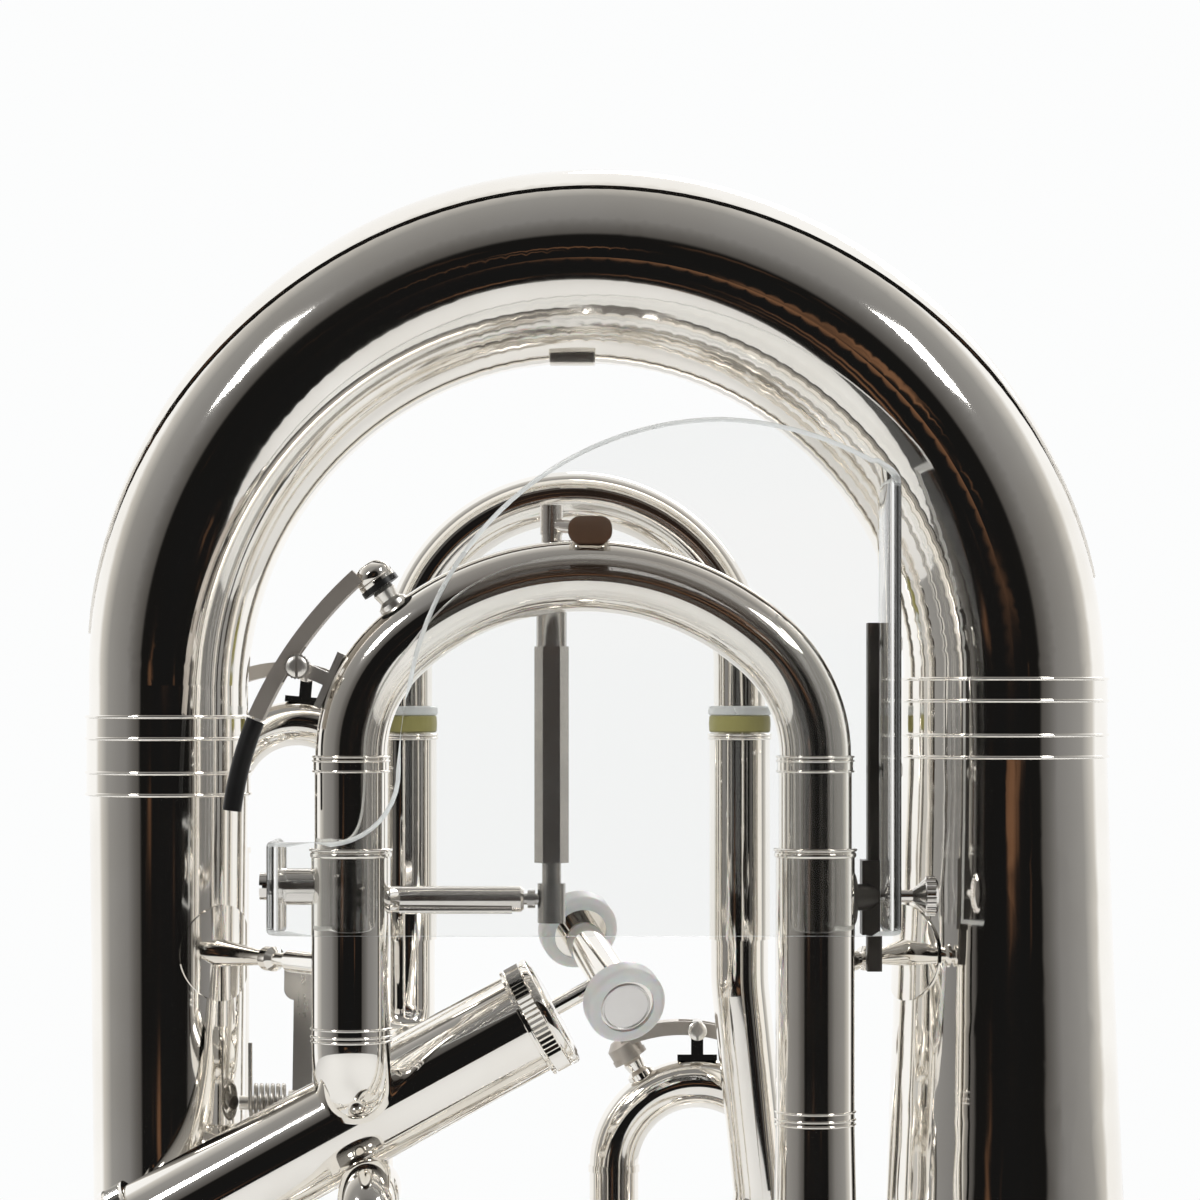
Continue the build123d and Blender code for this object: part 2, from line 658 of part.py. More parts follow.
def first_ports():
    ports = slide_ports("first", FIRST_CENTRE_X, FIRST_BOW_RADIUS, FIRST_PORT_Z, FIRST_TUBE_RADIUS)
    ports.append(port("first", VALVE_X["second"], VALVE_Y, KNUCKLE_Z[0], KNUCKLE_RADIUS - LINK_WALL))
    ports.append(port("first", *LEADPIPE_CORNER, LEADPIPE_RADIUS - LINK_WALL))
    return ports


def second_ports():
    ports = [port("second", SECOND_VALVE_X, -40, z, SECOND_TUBE_RADIUS) for z in second_heights()]
    ports.append(port("second", VALVE_X["first"], VALVE_Y, KNUCKLE_Z[0], KNUCKLE_RADIUS - LINK_WALL))
    ports.append(port("second", VALVE_X["third"], VALVE_Y, KNUCKLE_Z[1], KNUCKLE_RADIUS - LINK_WALL))
    return ports


def third_ports():
    ports = slide_ports("third", THIRD_CENTRE_X, THIRD_BOW_RADIUS, THIRD_PORT_Z, THIRD_TUBE_RADIUS)
    ports.append(port("third", VALVE_X["second"], VALVE_Y, KNUCKLE_Z[1], KNUCKLE_RADIUS - LINK_WALL))
    ports.append(port("third", LINK_X, LINK_FRONT_Y, LINK_LOW_Z, LINK_RADIUS - LINK_WALL))
    return ports


def fourth_ports():
    """Ports of the slanting casing: main slide and link tube in front, the fourth slide's two behind."""
    elbow = elbow_path()
    link = Vector(LINK_X, LINK_FRONT_Y, LINK_HIGH_Z)
    middle = Vector(LINK_X, CAP_POINT[1], LINK_HIGH_Z)
    reach = Vector(0, 10, 0)
    ports = [
        (elbow @ 1 - (elbow % 1) * 6, elbow @ 1 + (elbow % 1) * 8, SLEEVE_BORE),
        (link, middle, LINK_RADIUS - LINK_WALL),
    ]
    for points in fourth_branch_points():
        end = Vector(*points[-1])
        ports.append((end + reach, end - reach, FOURTH_TUBE_RADIUS))
    return ports


def make_link_tubes():
    """The tube from the third valve to the fourth, and the short knuckles between the casings."""
    cut = fourth_rod(CASING_RADIUS + SOLDER_GAP) + upright_rod("third", CASING_RADIUS + SOLDER_GAP)
    tubes = [branch_tube(link_points(), list(LINK_BENDS), LINK_RADIUS, LINK_WALL, cut)]
    for z, name, other in zip(KNUCKLE_Z, ("first", "second"), ("second", "third")):
        start = (VALVE_X[name], VALVE_Y, z)
        knuckle = pipe(start, (VALVE_X[other], VALVE_Y, z), KNUCKLE_RADIUS, LINK_WALL)
        for end in VALVE_X:
            knuckle -= upright_rod(end, CASING_RADIUS + SOLDER_GAP)
        tubes.append(knuckle)
    return tubes


def fourth_branch_points():
    """Centre lines of the left and right tubes from the fourth slide round to the fourth casing."""
    back = CAP_POINT[1] + CASING_RADIUS - ENTRY_DEPTH
    left = [
        (FOURTH_LEFT_X, FOURTH_Y, FOURTH_SLEEVE_END_Z),
        (FOURTH_LEFT_X, FOURTH_Y, FOURTH_LEFT_ENTRY_Z),
        (FOURTH_LEFT_X, back, FOURTH_LEFT_ENTRY_Z),
    ]
    right = [
        (FOURTH_RIGHT_X, FOURTH_Y, FOURTH_SLEEVE_END_Z),
        (FOURTH_RIGHT_X, FOURTH_Y, FOURTH_BEND_Z),
        (FOURTH_RIGHT_X + FOURTH_SPREAD, FOURTH_RETURN_Y, FOURTH_BRANCH_Z),
        (FOURTH_RETURN_X, FOURTH_RETURN_Y, FOURTH_BRANCH_Z),
        (FOURTH_RETURN_X, FOURTH_RETURN_Y, FOURTH_RIGHT_ENTRY_Z),
        (FOURTH_RETURN_X, back, FOURTH_RIGHT_ENTRY_Z),
    ]
    return left, right


def fourth_sleeve(x):
    low = (x, FOURTH_Y, FOURTH_SLEEVE_END_Z)
    high = (x, FOURTH_Y, FOURTH_SLEEVE_TOP_Z)
    bore = FOURTH_TUBE_RADIUS + RUNNING_CLEARANCE
    return pipe(low, high, FOURTH_SLEEVE_RADIUS, FOURTH_SLEEVE_RADIUS - bore)


def make_fourth_branch(side):
    left, right = fourth_branch_points()
    points, radii, x = left, FOURTH_BENDS[-1:], FOURTH_LEFT_X
    if side == "right":
        points, radii, x = right, FOURTH_BENDS, FOURTH_RIGHT_X
    cut = fourth_rod(CASING_RADIUS + SOLDER_GAP)
    tube = branch_tube(points, list(radii), FOURTH_TUBE_RADIUS + BRANCH_WALL, BRANCH_WALL, cut)
    return tube + fourth_sleeve(x)


def small_branches(name, centre_x, bow_radius, tube, top_z, heights):
    """Two outer sleeves that bend in under a small slide and meet their casing."""
    cut = upright_rod(name, CASING_RADIUS + SOLDER_GAP)
    outer = tube + RUNNING_CLEARANCE + 0.7
    pieces = []
    for x, z in zip((centre_x - bow_radius, centre_x + bow_radius), heights):
        points = [(x, SMALL_Y, top_z), (x, SMALL_Y, z), port_end(name, x, SMALL_Y, z)]
        sleeve = branch_tube(points, [18], outer, 0.7, cut)
        collar = outer + SOLDER_GAP
        pieces.append(sleeve + ring(x, SMALL_Y, top_z - 2.2, top_z, collar - 0.3, collar + 0.6))
    return pieces


def make_third_branches():
    sizes = (THIRD_CENTRE_X, THIRD_BOW_RADIUS, THIRD_TUBE_RADIUS)
    return small_branches("third", *sizes, THIRD_SLEEVE_TOP_Z, THIRD_PORT_Z)


def make_first_branches():
    sizes = (FIRST_CENTRE_X, FIRST_BOW_RADIUS, FIRST_TUBE_RADIUS)
    return small_branches("first", *sizes, FIRST_SLEEVE_TOP_Z, FIRST_PORT_Z)


def second_heights():
    return (SECOND_Z - SECOND_BOW_RADIUS, SECOND_Z + SECOND_BOW_RADIUS)


def make_second_branches():
    outer = SECOND_TUBE_RADIUS + RUNNING_CLEARANCE + 0.7
    cut = upright_rod("second", CASING_RADIUS + SOLDER_GAP)
    pieces = []
    for z in second_heights():
        start = (SECOND_VALVE_X, VALVE_Y, z)
        pieces.append(pipe(start, (SECOND_VALVE_X, SECOND_SLEEVE_FRONT_Y, z), outer, 0.7) - cut)
    return pieces


def make_leadpipe():
    end = port_end("first", *LEADPIPE_CORNER)
    points = [RECEIVER_START, LEADPIPE_REST, LEADPIPE_CORNER, end]
    cut = upright_rod("first", CASING_RADIUS + SOLDER_GAP)
    return branch_tube(points, list(LEADPIPE_BENDS), LEADPIPE_RADIUS, LINK_WALL, cut)


def make_receiver():
    """The mouthpiece receiver: a turned socket with a ring at its mouth."""
    top = RECEIVER_LENGTH
    points = [(0, 0), (8.2, 0), (8.8, 6), (8.8, 24), (10.2, 26), (10.2, 32), (9.4, top), (0, top)]
    plane = Plane(origin=RECEIVER_START + RECEIVER_DIRECTION * SOLDER_GAP, z_dir=RECEIVER_DIRECTION)
    body = turned(points, plane)
    body -= plane * Pos(0, 0, top - RECEIVER_DEPTH) * Cylinder(RECEIVER_BORE, RECEIVER_DEPTH, align=BASE)
    return body - plane * Cylinder(5.5, RECEIVER_LENGTH, align=BASE)


# ---- slides that move ----

def u_tube(centre_x, y, bow_z, bow_radius, low_z, tube, wall):
    left = (centre_x - bow_radius, y, low_z)
    right = (centre_x + bow_radius, y, low_z)
    rise = Line(left, (centre_x - bow_radius, y, bow_z))
    crown = Plane.XZ.offset(-y) * CenterArc((centre_x, bow_z), bow_radius, 180, -180)
    fall = Line((centre_x + bow_radius, y, bow_z), right)
    return swept_tube(Wire([rise, crown, fall]), tube, wall)


def make_fourth_slide():
    middle = (FOURTH_LEFT_X + FOURTH_RIGHT_X) / 2
    half = (FOURTH_RIGHT_X - FOURTH_LEFT_X) / 2
    return u_tube(middle, FOURTH_Y, FOURTH_BOW_Z, half, FOURTH_SLIDE_END_Z, FOURTH_TUBE_RADIUS, SLIDE_WALL)


def make_fourth_bumpers():
    """Two felt rings, each with a clear ring on top, that the fourth slide's bow comes down on."""
    pieces = []
    for x in (FOURTH_LEFT_X, FOURTH_RIGHT_X):
        felt_low = FOURTH_SLEEVE_TOP_Z + 0.3
        felt_high = felt_low + BUMPER_FELT_HEIGHT
        inner = FOURTH_TUBE_RADIUS + SOLDER_GAP
        pieces.append(ring(x, FOURTH_Y, felt_low, felt_high, inner, FOURTH_SLEEVE_RADIUS + 0.2))
        clear_low = felt_high + SOLDER_GAP
        clear_high = clear_low + BUMPER_CLEAR_HEIGHT
        pieces.append(ring(x, FOURTH_Y, clear_low, clear_high, inner, FOURTH_SLEEVE_RADIUS + 0.4))
    return pieces


def key_frame(centre_x, y, bow_z, degrees):
    """A plane whose normal leaves the bow's centre at this angle in the slide's own plane."""
    angle = math.radians(degrees)
    out = Vector(math.cos(angle), 0, math.sin(angle))
    return Plane(origin=(centre_x, y, bow_z), x_dir=(0, 1, 0), z_dir=out)


def nipple(frame, skin):
    """The turned drain nipple, from just inside the tube's skin to its seat."""
    high = skin + NIPPLE_HEIGHT
    points = [
        (0, skin - 1.2),
        (5.2, skin - 1.2),
        (5.2, skin + 0.9),
        (3.4, skin + 2.4),
        (KEY_NIPPLE_RADIUS, high - 1.4),
        (KEY_NIPPLE_RADIUS - 0.6, high),
        (0, high),
    ]
    return turned(points, frame)


def saddle(frame, skin, hinge_height, width):
    """The hinge block of a water key on its soldered foot, bored for the pivot pin."""
    foot = frame * Pos(0, 0, skin - 0.6) * Box(7.5, width, 2.4, align=BASE)
    post = frame * Pos(0, 0, skin - 0.6) * Box(6.6, 4.6, hinge_height - skin + 0.6, align=BASE)
    head = frame * Pos(0, 0, hinge_height) * Rot(0, 90, 0) * Cylinder(KEY_HINGE_RADIUS, 6.6)
    pin_hole = frame * Pos(0, 0, hinge_height) * Rot(0, 90, 0) * Cylinder(KEY_PIN_RADIUS + SOLDER_GAP, 30)
    return foot + post + head - pin_hole


def key_pin(frame, hinge_height, length):
    """The pivot pin along Y through the hinge block and both ears, with a flat screw head in front."""
    pin = frame * Pos(0, 0, hinge_height) * Rot(0, 90, 0) * Cylinder(KEY_PIN_RADIUS, length)
    head = frame * Pos(-length / 2 - 0.7, 0, hinge_height) * Rot(0, 90, 0) * Cylinder(KEY_HINGE_RADIUS, 1.4)
    return pin + head


def key_lever(band, frame, hinge_height, cup_frame, cup_low):
    """A forked lever with its cup: the band sits clear of the hinge block and two ears take the pin."""
    ears = []
    for side in (-1, 1):
        place = frame * Pos(side * 4.6, 0, hinge_height) * Rot(0, 90, 0)
        ears.append(place * Cylinder(KEY_HINGE_RADIUS, 2.0))
    lever = band
    for ear in ears:
        lever += ear
    bore = Cylinder(KEY_PIN_RADIUS + RUNNING_CLEARANCE, 30)
    lever -= frame * Pos(0, 0, hinge_height) * Rot(0, 90, 0) * bore
    outline = [
        (0, cup_low),
        (KEY_CUP_RADIUS, cup_low),
        (KEY_CUP_RADIUS, cup_low + 4.2),
        (3.8, cup_low + 6.6),
        (0, cup_low + 7.2),
    ]
    return lever + turned(outline, cup_frame)


MAIN_KEY_CENTRE = (SLIDE_LEFT_X + SLIDE_SIDE_ARC, SLIDE_Y, SLIDE_BOW_Z)
MAIN_SKIN = SLIDE_SIDE_ARC + SLIDE_BOW_RADIUS
MAIN_HINGE_HEIGHT = MAIN_SKIN + MAIN_HINGE_RISE


def main_key_frame(degrees):
    return key_frame(MAIN_KEY_CENTRE[0], MAIN_KEY_CENTRE[1], MAIN_KEY_CENTRE[2], degrees)


def slide_core():
    """The filled main bow, used to cope what is soldered to it."""
    return swept_bar(slide_path(SLIDE_JOINT_Z), SLIDE_BOW_RADIUS + SOLDER_GAP)


def make_main_key_seat():
    """Nipple, hinge block and pivot screw of the main water key, on the slide bow's left shoulder."""
    core = slide_core()
    pip = nipple(main_key_frame(MAIN_NIPPLE_ANGLE), MAIN_SKIN) - core
    pip -= main_key_frame(MAIN_NIPPLE_ANGLE) * Pos(0, 0, MAIN_SKIN - 2) * Cylinder(KEY_BORE, 12, align=BASE)
    hinge = main_key_frame(MAIN_HINGE_ANGLE)
    block = saddle(hinge, MAIN_SKIN, MAIN_HINGE_HEIGHT, 20.0) - core
    return [pip, block, key_pin(hinge, MAIN_HINGE_HEIGHT, 13.0)]


def key_band(points, y):
    """The lever's strip, bent along an arc through points in the slide's plane."""
    strip = trace(ThreePointArc(*points), KEY_BAND)
    return extrude(Plane.XZ.offset(-y) * strip, KEY_EAR_OUT, both=True)


def key_slot(frame, hinge_height):
    """The room between the lever's two ears for the hinge block."""
    return frame * Pos(0, 0, hinge_height - 1) * Box(2 * KEY_EAR_IN, 14.0, 16.0)


def make_main_key_lever():
    hinge = main_key_frame(MAIN_HINGE_ANGLE)
    points = [(MAIN_KEY_CENTRE[0] + x, MAIN_KEY_CENTRE[2] + z) for x, z in MAIN_BAND]
    band = key_band(points, SLIDE_Y)
    band -= key_slot(hinge, MAIN_HINGE_HEIGHT)
    return key_lever(band, hinge, MAIN_HINGE_HEIGHT, main_key_frame(MAIN_NIPPLE_ANGLE), pad_top(MAIN_SKIN))


def pad_low(skin):
    return skin + NIPPLE_HEIGHT + SOLDER_GAP


def pad_top(skin):
    return pad_low(skin) + PAD_THICKNESS


def key_pad(frame, skin):
    return frame * Pos(0, 0, pad_low(skin)) * Cylinder(KEY_PAD_RADIUS, PAD_THICKNESS, align=BASE)


def make_main_key_pad():
    return key_pad(main_key_frame(MAIN_NIPPLE_ANGLE), MAIN_SKIN)


def make_main_key_grip():
    """The rubber sleeve pushed over the lever's tail."""
    points = [Vector(*MAIN_KEY_CENTRE) + Vector(x, 0, z) for x, z in MAIN_GRIP]
    return swept_bar(Wire([ThreePointArc(*points)]), MAIN_GRIP_RADIUS)


def polar(centre_x, centre_z, degrees, radius):
    angle = math.radians(degrees)
    return (centre_x + radius * math.cos(angle), centre_z + radius * math.sin(angle))


def small_slide(centre_x, bow_z, bow_radius, low_z, tube, hinge_angle, cup_angle):
    """A small slide with its drain nipple, hinge block and pin, as one soldered group."""
    bow = u_tube(centre_x, SMALL_Y, bow_z, bow_radius, low_z, tube, SMALL_TUBE_WALL)
    for side in (-1, 1):
        x = centre_x + side * bow_radius
        bow += ring(x, SMALL_Y, bow_z - 2, bow_z + 0.5, tube - 0.3, tube + 0.45)
    skin = bow_radius + tube
    core = swept_bar(half_round(centre_x, SMALL_Y, bow_z, bow_radius), tube + SOLDER_GAP)
    cup_frame = key_frame(centre_x, SMALL_Y, bow_z, cup_angle)
    hinge = key_frame(centre_x, SMALL_Y, bow_z, hinge_angle)
    pip = nipple(cup_frame, skin) - core
    pip -= cup_frame * Pos(0, 0, skin - 2) * Cylinder(KEY_BORE, 12, align=BASE)
    block = saddle(hinge, skin, skin + KEY_HINGE_RISE, 15.0) - core
    return [bow, pip, block, key_pin(hinge, skin + KEY_HINGE_RISE, 13.0)]


def half_round(centre_x, y, bow_z, bow_radius):
    arc = Plane.XZ.offset(-y) * CenterArc((centre_x, bow_z), bow_radius, 180, -180)
    return Wire([arc])


def small_key(centre_x, bow_z, skin, hinge_angle, cup_angle, tail_angle):
    """The lever and pad of a small slide's water key."""
    high = skin + KEY_HINGE_RISE
    hinge = key_frame(centre_x, SMALL_Y, bow_z, hinge_angle)
    cup_frame = key_frame(centre_x, SMALL_Y, bow_z, cup_angle)
    start = polar(centre_x, bow_z, cup_angle, pad_top(skin) + 6.0)
    middle = polar(centre_x, bow_z, hinge_angle, high + 0.6)
    end = polar(centre_x, bow_z, tail_angle, high - 1.5)
    band = key_band([start, middle, end], SMALL_Y) - key_slot(hinge, high)
    return [key_lever(band, hinge, high, cup_frame, pad_top(skin)), key_pad(cup_frame, skin)]


def make_third_slide():
    low = THIRD_SLEEVE_TOP_Z - SMALL_ENGAGE
    return small_slide(THIRD_CENTRE_X, THIRD_BOW_Z, THIRD_BOW_RADIUS, low, THIRD_TUBE_RADIUS, *THIRD_ANGLES)


def make_third_key():
    skin = THIRD_BOW_RADIUS + THIRD_TUBE_RADIUS
    return small_key(THIRD_CENTRE_X, THIRD_BOW_Z, skin, *THIRD_ANGLES, THIRD_TAIL_ANGLE)


def make_first_slide():
    low = FIRST_SLEEVE_TOP_Z - SMALL_ENGAGE
    return small_slide(FIRST_CENTRE_X, FIRST_BOW_Z, FIRST_BOW_RADIUS, low, FIRST_TUBE_RADIUS, *FIRST_ANGLES)


def make_first_key():
    skin = FIRST_BOW_RADIUS + FIRST_TUBE_RADIUS
    return small_key(FIRST_CENTRE_X, FIRST_BOW_Z, skin, *FIRST_ANGLES, FIRST_TAIL_ANGLE)


def make_second_slide():
    """The short U of the second valve: its legs run along Y, its bow faces the front."""
    crown_y = SECOND_SLEEVE_FRONT_Y - 3.0
    low, high = second_heights()
    lower = Line((SECOND_VALVE_X, SECOND_SLIDE_BACK_Y, low), (SECOND_VALVE_X, crown_y, low))
    crown = Plane.YZ.offset(SECOND_VALVE_X) * CenterArc((crown_y, SECOND_Z), SECOND_BOW_RADIUS, 270, -180)
    upper = Line((SECOND_VALVE_X, crown_y, high), (SECOND_VALVE_X, SECOND_SLIDE_BACK_Y, high))
    return swept_tube(Wire([lower, crown, upper]), SECOND_TUBE_RADIUS, SMALL_TUBE_WALL)


# ---- hand guard, rod, spool, trigger and braces ----

GUARD_FLANGE_IN = GUARD_RIGHT_X - GUARD_THICKNESS


def guard_outline():
    """The front of the guard: a low tab on the left, a sweep up to the crest, and a tall right side."""
    left, right, low, tab = GUARD_LEFT_X, GUARD_RIGHT_X, GUARD_LOW_Z, GUARD_TAB_Z
    foot, turn, neck, hip = [(left + x, tab + z) for x, z in GUARD_SWEEP]
    shoulder = (left + GUARD_SHOULDER[0], tab + GUARD_SHOULDER[1])
    crest, brow = [(right + x, tab + z) for x, z in GUARD_CREST]
    corner = (right, tab + GUARD_RIGHT_RISE)
    return make_face([
        Line((left, low), (left, tab)),
        Line((left, tab), foot),
        ThreePointArc(foot, turn, neck),
        Line(neck, hip),
        ThreePointArc(hip, shoulder, crest),
        ThreePointArc(crest, brow, corner),
        Line(corner, (right, low)),
        Line((right, low), (left, low)),
    ])


def make_guard_sheet():
    """A clear sheet across the slide, with a short side bent back on the left and a tall one on the right."""
    sheet = extrude(Plane.XZ.offset(-GUARD_FRONT_Y) * guard_outline(), -GUARD_THICKNESS)
    left_size = (GUARD_THICKNESS, GUARD_LEFT_DEPTH, GUARD_TAB_Z - GUARD_LOW_Z)
    corner = (Align.MIN, Align.MIN, Align.MIN)
    sheet += Pos(GUARD_LEFT_X, GUARD_FRONT_Y, GUARD_LOW_Z) * Box(*left_size, align=corner)
    right_size = (GUARD_THICKNESS, GUARD_RIGHT_DEPTH, GUARD_TAB_Z + GUARD_RIGHT_RISE - GUARD_LOW_Z)
    sheet += Pos(GUARD_FLANGE_IN, GUARD_FRONT_Y, GUARD_LOW_Z) * Box(*right_size, align=corner)
    holes = [(z, SCREW_HOLE_RADIUS) for z in SCREW_Z] + [(THUMB_Z, THUMB_SHAFT_RADIUS + 0.4)]
    for z, radius in holes:
        sheet -= rod((GUARD_FLANGE_IN - 2, BAR_CENTRE_Y, z), (GUARD_RIGHT_X + 2, BAR_CENTRE_Y, z), radius)
    boss_hole = BOSS_SCREW_RADIUS + 0.1
    return sheet - rod((GUARD_LEFT_X - 2, SLIDE_Y, BOSS_Z), (GUARD_LEFT_X + 6, SLIDE_Y, BOSS_Z), boss_hole)


BAR_RIGHT_X = GUARD_FLANGE_IN - 0.2


def make_guard_bar():
    """The dark bar behind the guard's tall side, its clamp block and its foot on the right sleeve."""
    centre = BAR_RIGHT_X - BAR_WIDTH / 2
    bar = Pos(centre, BAR_CENTRE_Y, BAR_LOW_Z) * Box(BAR_WIDTH, BAR_DEPTH, BAR_HIGH_Z - BAR_LOW_Z, align=BASE)
    bar = fillet(bar.edges().filter_by(Axis.Z), 1.0)
    block = Pos(centre - 1, BAR_CENTRE_Y, THUMB_Z - 13) * Box(BAR_WIDTH + 2, BAR_DEPTH + 3, 25.5, align=BASE)
    start = Vector(centre - 1, BAR_CENTRE_Y - 2, THUMB_Z)
    axis_point = Vector(SLIDE_RIGHT_X, SLIDE_Y, THUMB_Z)
    foot = rod(axis_point, start, 4.6)
    sheath = rod(branch_point(THUMB_Z - 12), branch_point(THUMB_Z + 12), SLEEVE_RADIUS + 1.1)
    pad = rod(axis_point, start, 11.0) & sheath
    foot = foot + pad - sleeve_rod(SLIDE_RIGHT_X, THUMB_Z)
    piece = bar + block + foot
    thread = THUMB_SHAFT_RADIUS + RUNNING_CLEARANCE
    piece -= rod((THUMB_TIP_X - 0.5, BAR_CENTRE_Y, THUMB_Z), (BAR_RIGHT_X + 1, BAR_CENTRE_Y, THUMB_Z), thread)
    for z in SCREW_Z:
        piece -= rod((centre - 4, BAR_CENTRE_Y, z), (BAR_RIGHT_X + 1, BAR_CENTRE_Y, z), 1.3)
    return piece


THUMB_TIP_X = BAR_RIGHT_X - 4.5
THUMB_NECK_X = GUARD_RIGHT_X + 7.0


def make_guard_screws():
    """Two screws through the tall side into the bar, and the boss and slotted nut of the left side."""
    screws = []
    for z in SCREW_Z:
        shank = rod((BAR_RIGHT_X - 5, BAR_CENTRE_Y, z), (GUARD_RIGHT_X + 0.05, BAR_CENTRE_Y, z), 1.25)
        seat = GUARD_RIGHT_X + 0.05
        screws.append(shank + rod((seat, BAR_CENTRE_Y, z), (seat + 1.95, BAR_CENTRE_Y, z), 2.6))
    sleeve_side = SLIDE_LEFT_X - SLEEVE_RADIUS
    seat = GUARD_LEFT_X + GUARD_THICKNESS + 0.05
    boss = rod((sleeve_side + 4, SLIDE_Y, BOSS_Z), (seat, SLIDE_Y, BOSS_Z), BOSS_RADIUS)
    boss -= sleeve_rod(SLIDE_LEFT_X, BOSS_Z)
    boss += rod((sleeve_side - 4, SLIDE_Y, BOSS_Z), (GUARD_LEFT_X - 0.05, SLIDE_Y, BOSS_Z), BOSS_SCREW_RADIUS)
    nut = rod((GUARD_LEFT_X - 0.05, SLIDE_Y, BOSS_Z), (GUARD_LEFT_X - 3.6, SLIDE_Y, BOSS_Z), 4.6)
    nut -= Pos(GUARD_LEFT_X - 3.6, SLIDE_Y, BOSS_Z) * Box(2.0, 10.0, 1.1)
    return screws + [boss + nut]


def make_thumb_screw():
    """A threaded shaft with a cone-backed head, knurled round its rim."""
    length = THUMB_NECK_X - THUMB_TIP_X
    points = [
        (0, 0),
        (THUMB_SHAFT_RADIUS, 0),
        (THUMB_SHAFT_RADIUS, length),
        (3.2, length + 1),
        (6.0, length + 4.2),
        (THUMB_HEAD_RADIUS, length + 4.6),
        (THUMB_HEAD_RADIUS, length + 7.6),
        (5.4, length + 8.6),
        (0, length + 9.2),
    ]
    place = Plane(origin=(THUMB_TIP_X, BAR_CENTRE_Y, THUMB_Z), z_dir=(1, 0, 0))
    screw = turned(points, place)
    notch = place * Pos(THUMB_HEAD_RADIUS + 0.25, 0, length + 6.1) * Cylinder(0.6, 4)
    axis = Axis(place.origin, place.z_dir)
    return screw - [notch.rotate(axis, 360 * i / THUMB_NOTCHES) for i in range(THUMB_NOTCHES)]


def make_rod_barrel():
    """The six-sided outer barrel of the telescopic rod with its collar, neck and T-piece."""
    low, high = ROD_HEX_Z
    hexagon = RegularPolygon(ROD_HEX_ACROSS / 2, 6, major_radius=False)
    barrel = Pos(ROD_X, ROD_Y, low) * extrude(hexagon, high - low)
    barrel += rod((ROD_X, ROD_Y, high), (ROD_X, ROD_Y, ROD_COLLAR_TOP_Z), ROD_HEX_ACROSS / 2 + 0.1)
    barrel += rod((ROD_X, ROD_Y, low - 7), (ROD_X, ROD_Y, low), 3.3)
    barrel += rod((ROD_X, ROD_Y, ROD_ARM_Z - 8.2), (ROD_X, ROD_Y, ROD_ARM_Z + 5.4), 4.8)
    bore_low = PLUNGER_LOW_Z - 1.5
    bore = PLUNGER_RADIUS + RUNNING_CLEARANCE
    barrel -= rod((ROD_X, ROD_Y, bore_low), (ROD_X, ROD_Y, ROD_COLLAR_TOP_Z + 1), bore)
    pin = rod((ROD_X - 9.5, ROD_Y, ROD_ARM_Z), (ROD_X - 4.0, ROD_Y, ROD_ARM_Z), 2.0)
    nut = rod((ROD_X - 8.2, ROD_Y, ROD_ARM_Z), (ROD_X - 5.6, ROD_Y, ROD_ARM_Z), 3.2)
    return barrel + pin + nut


def make_rod_arm():
    """The arm that holds the rod's foot, its lug on the left sleeve and the thin stay in front of it."""
    end = ROD_X - 10.5
    arm = rod((ROD_ARM_START_X, ROD_Y, ROD_ARM_Z), (end, ROD_Y, ROD_ARM_Z), ROD_ARM_RADIUS)
    arm += cone((end, ROD_Y, ROD_ARM_Z), (end + 1.0, ROD_Y, ROD_ARM_Z), ROD_ARM_RADIUS, 3.6)
    lug = rod((SLIDE_LEFT_X, SLIDE_Y, ROD_ARM_Z), (ROD_ARM_START_X + 3.5, ROD_Y + 1, ROD_ARM_Z), 3.8)
    lug -= sleeve_rod(SLIDE_LEFT_X, ROD_ARM_Z)
    stay_z = ROD_ARM_Z - 3.6
    stay = rod((ROD_ARM_START_X + 4, ROD_Y - 4.0, stay_z), (end - 3, ROD_Y - 3.4, stay_z), 1.3)
    piece = arm + lug + stay
    return piece - rod((ROD_X - 12.0, ROD_Y, ROD_ARM_Z), (ROD_X, ROD_Y, ROD_ARM_Z), 2.05)


def make_rod_plunger():
    """The rod's sliding inner bar, its head, and the oval block that carries it on the slide bow."""
    plunger = rod((ROD_X, ROD_Y, PLUNGER_LOW_Z), (ROD_X, ROD_Y, PLUNGER_HIGH_Z), PLUNGER_RADIUS)
    plunger += rod((ROD_X, ROD_Y, PLUNGER_HIGH_Z - 10), (ROD_X, ROD_Y, PLUNGER_HIGH_Z), PLUNGER_RADIUS + 0.4)
    block_x, block_z = BLOCK_CENTRE
    face = Plane.XZ.offset(-BLOCK_FRONT_Y) * Pos(block_x, block_z)
    oval = face * RectangleRounded(*BLOCK_SIZE, BLOCK_CORNER)
    block = extrude(oval, -BLOCK_DEPTH)
    pin = rod((ROD_X, ROD_Y, block_z + 3), (block_x, BLOCK_FRONT_Y + 20, block_z + 1), 2.4)
    return plunger + pin + (block - slide_core())


SPOOL_AXIS = Vector(0.280, -0.883, -0.377).normalized()
SPOOL_CENTRE = Vector(*CAP_POINT) + FOURTH_AXIS * (SPOOL_STUB + SPOOL_BARREL_RADIUS - 2.0)


def spool_place():
    return Plane(origin=SPOOL_CENTRE, z_dir=SPOOL_AXIS)


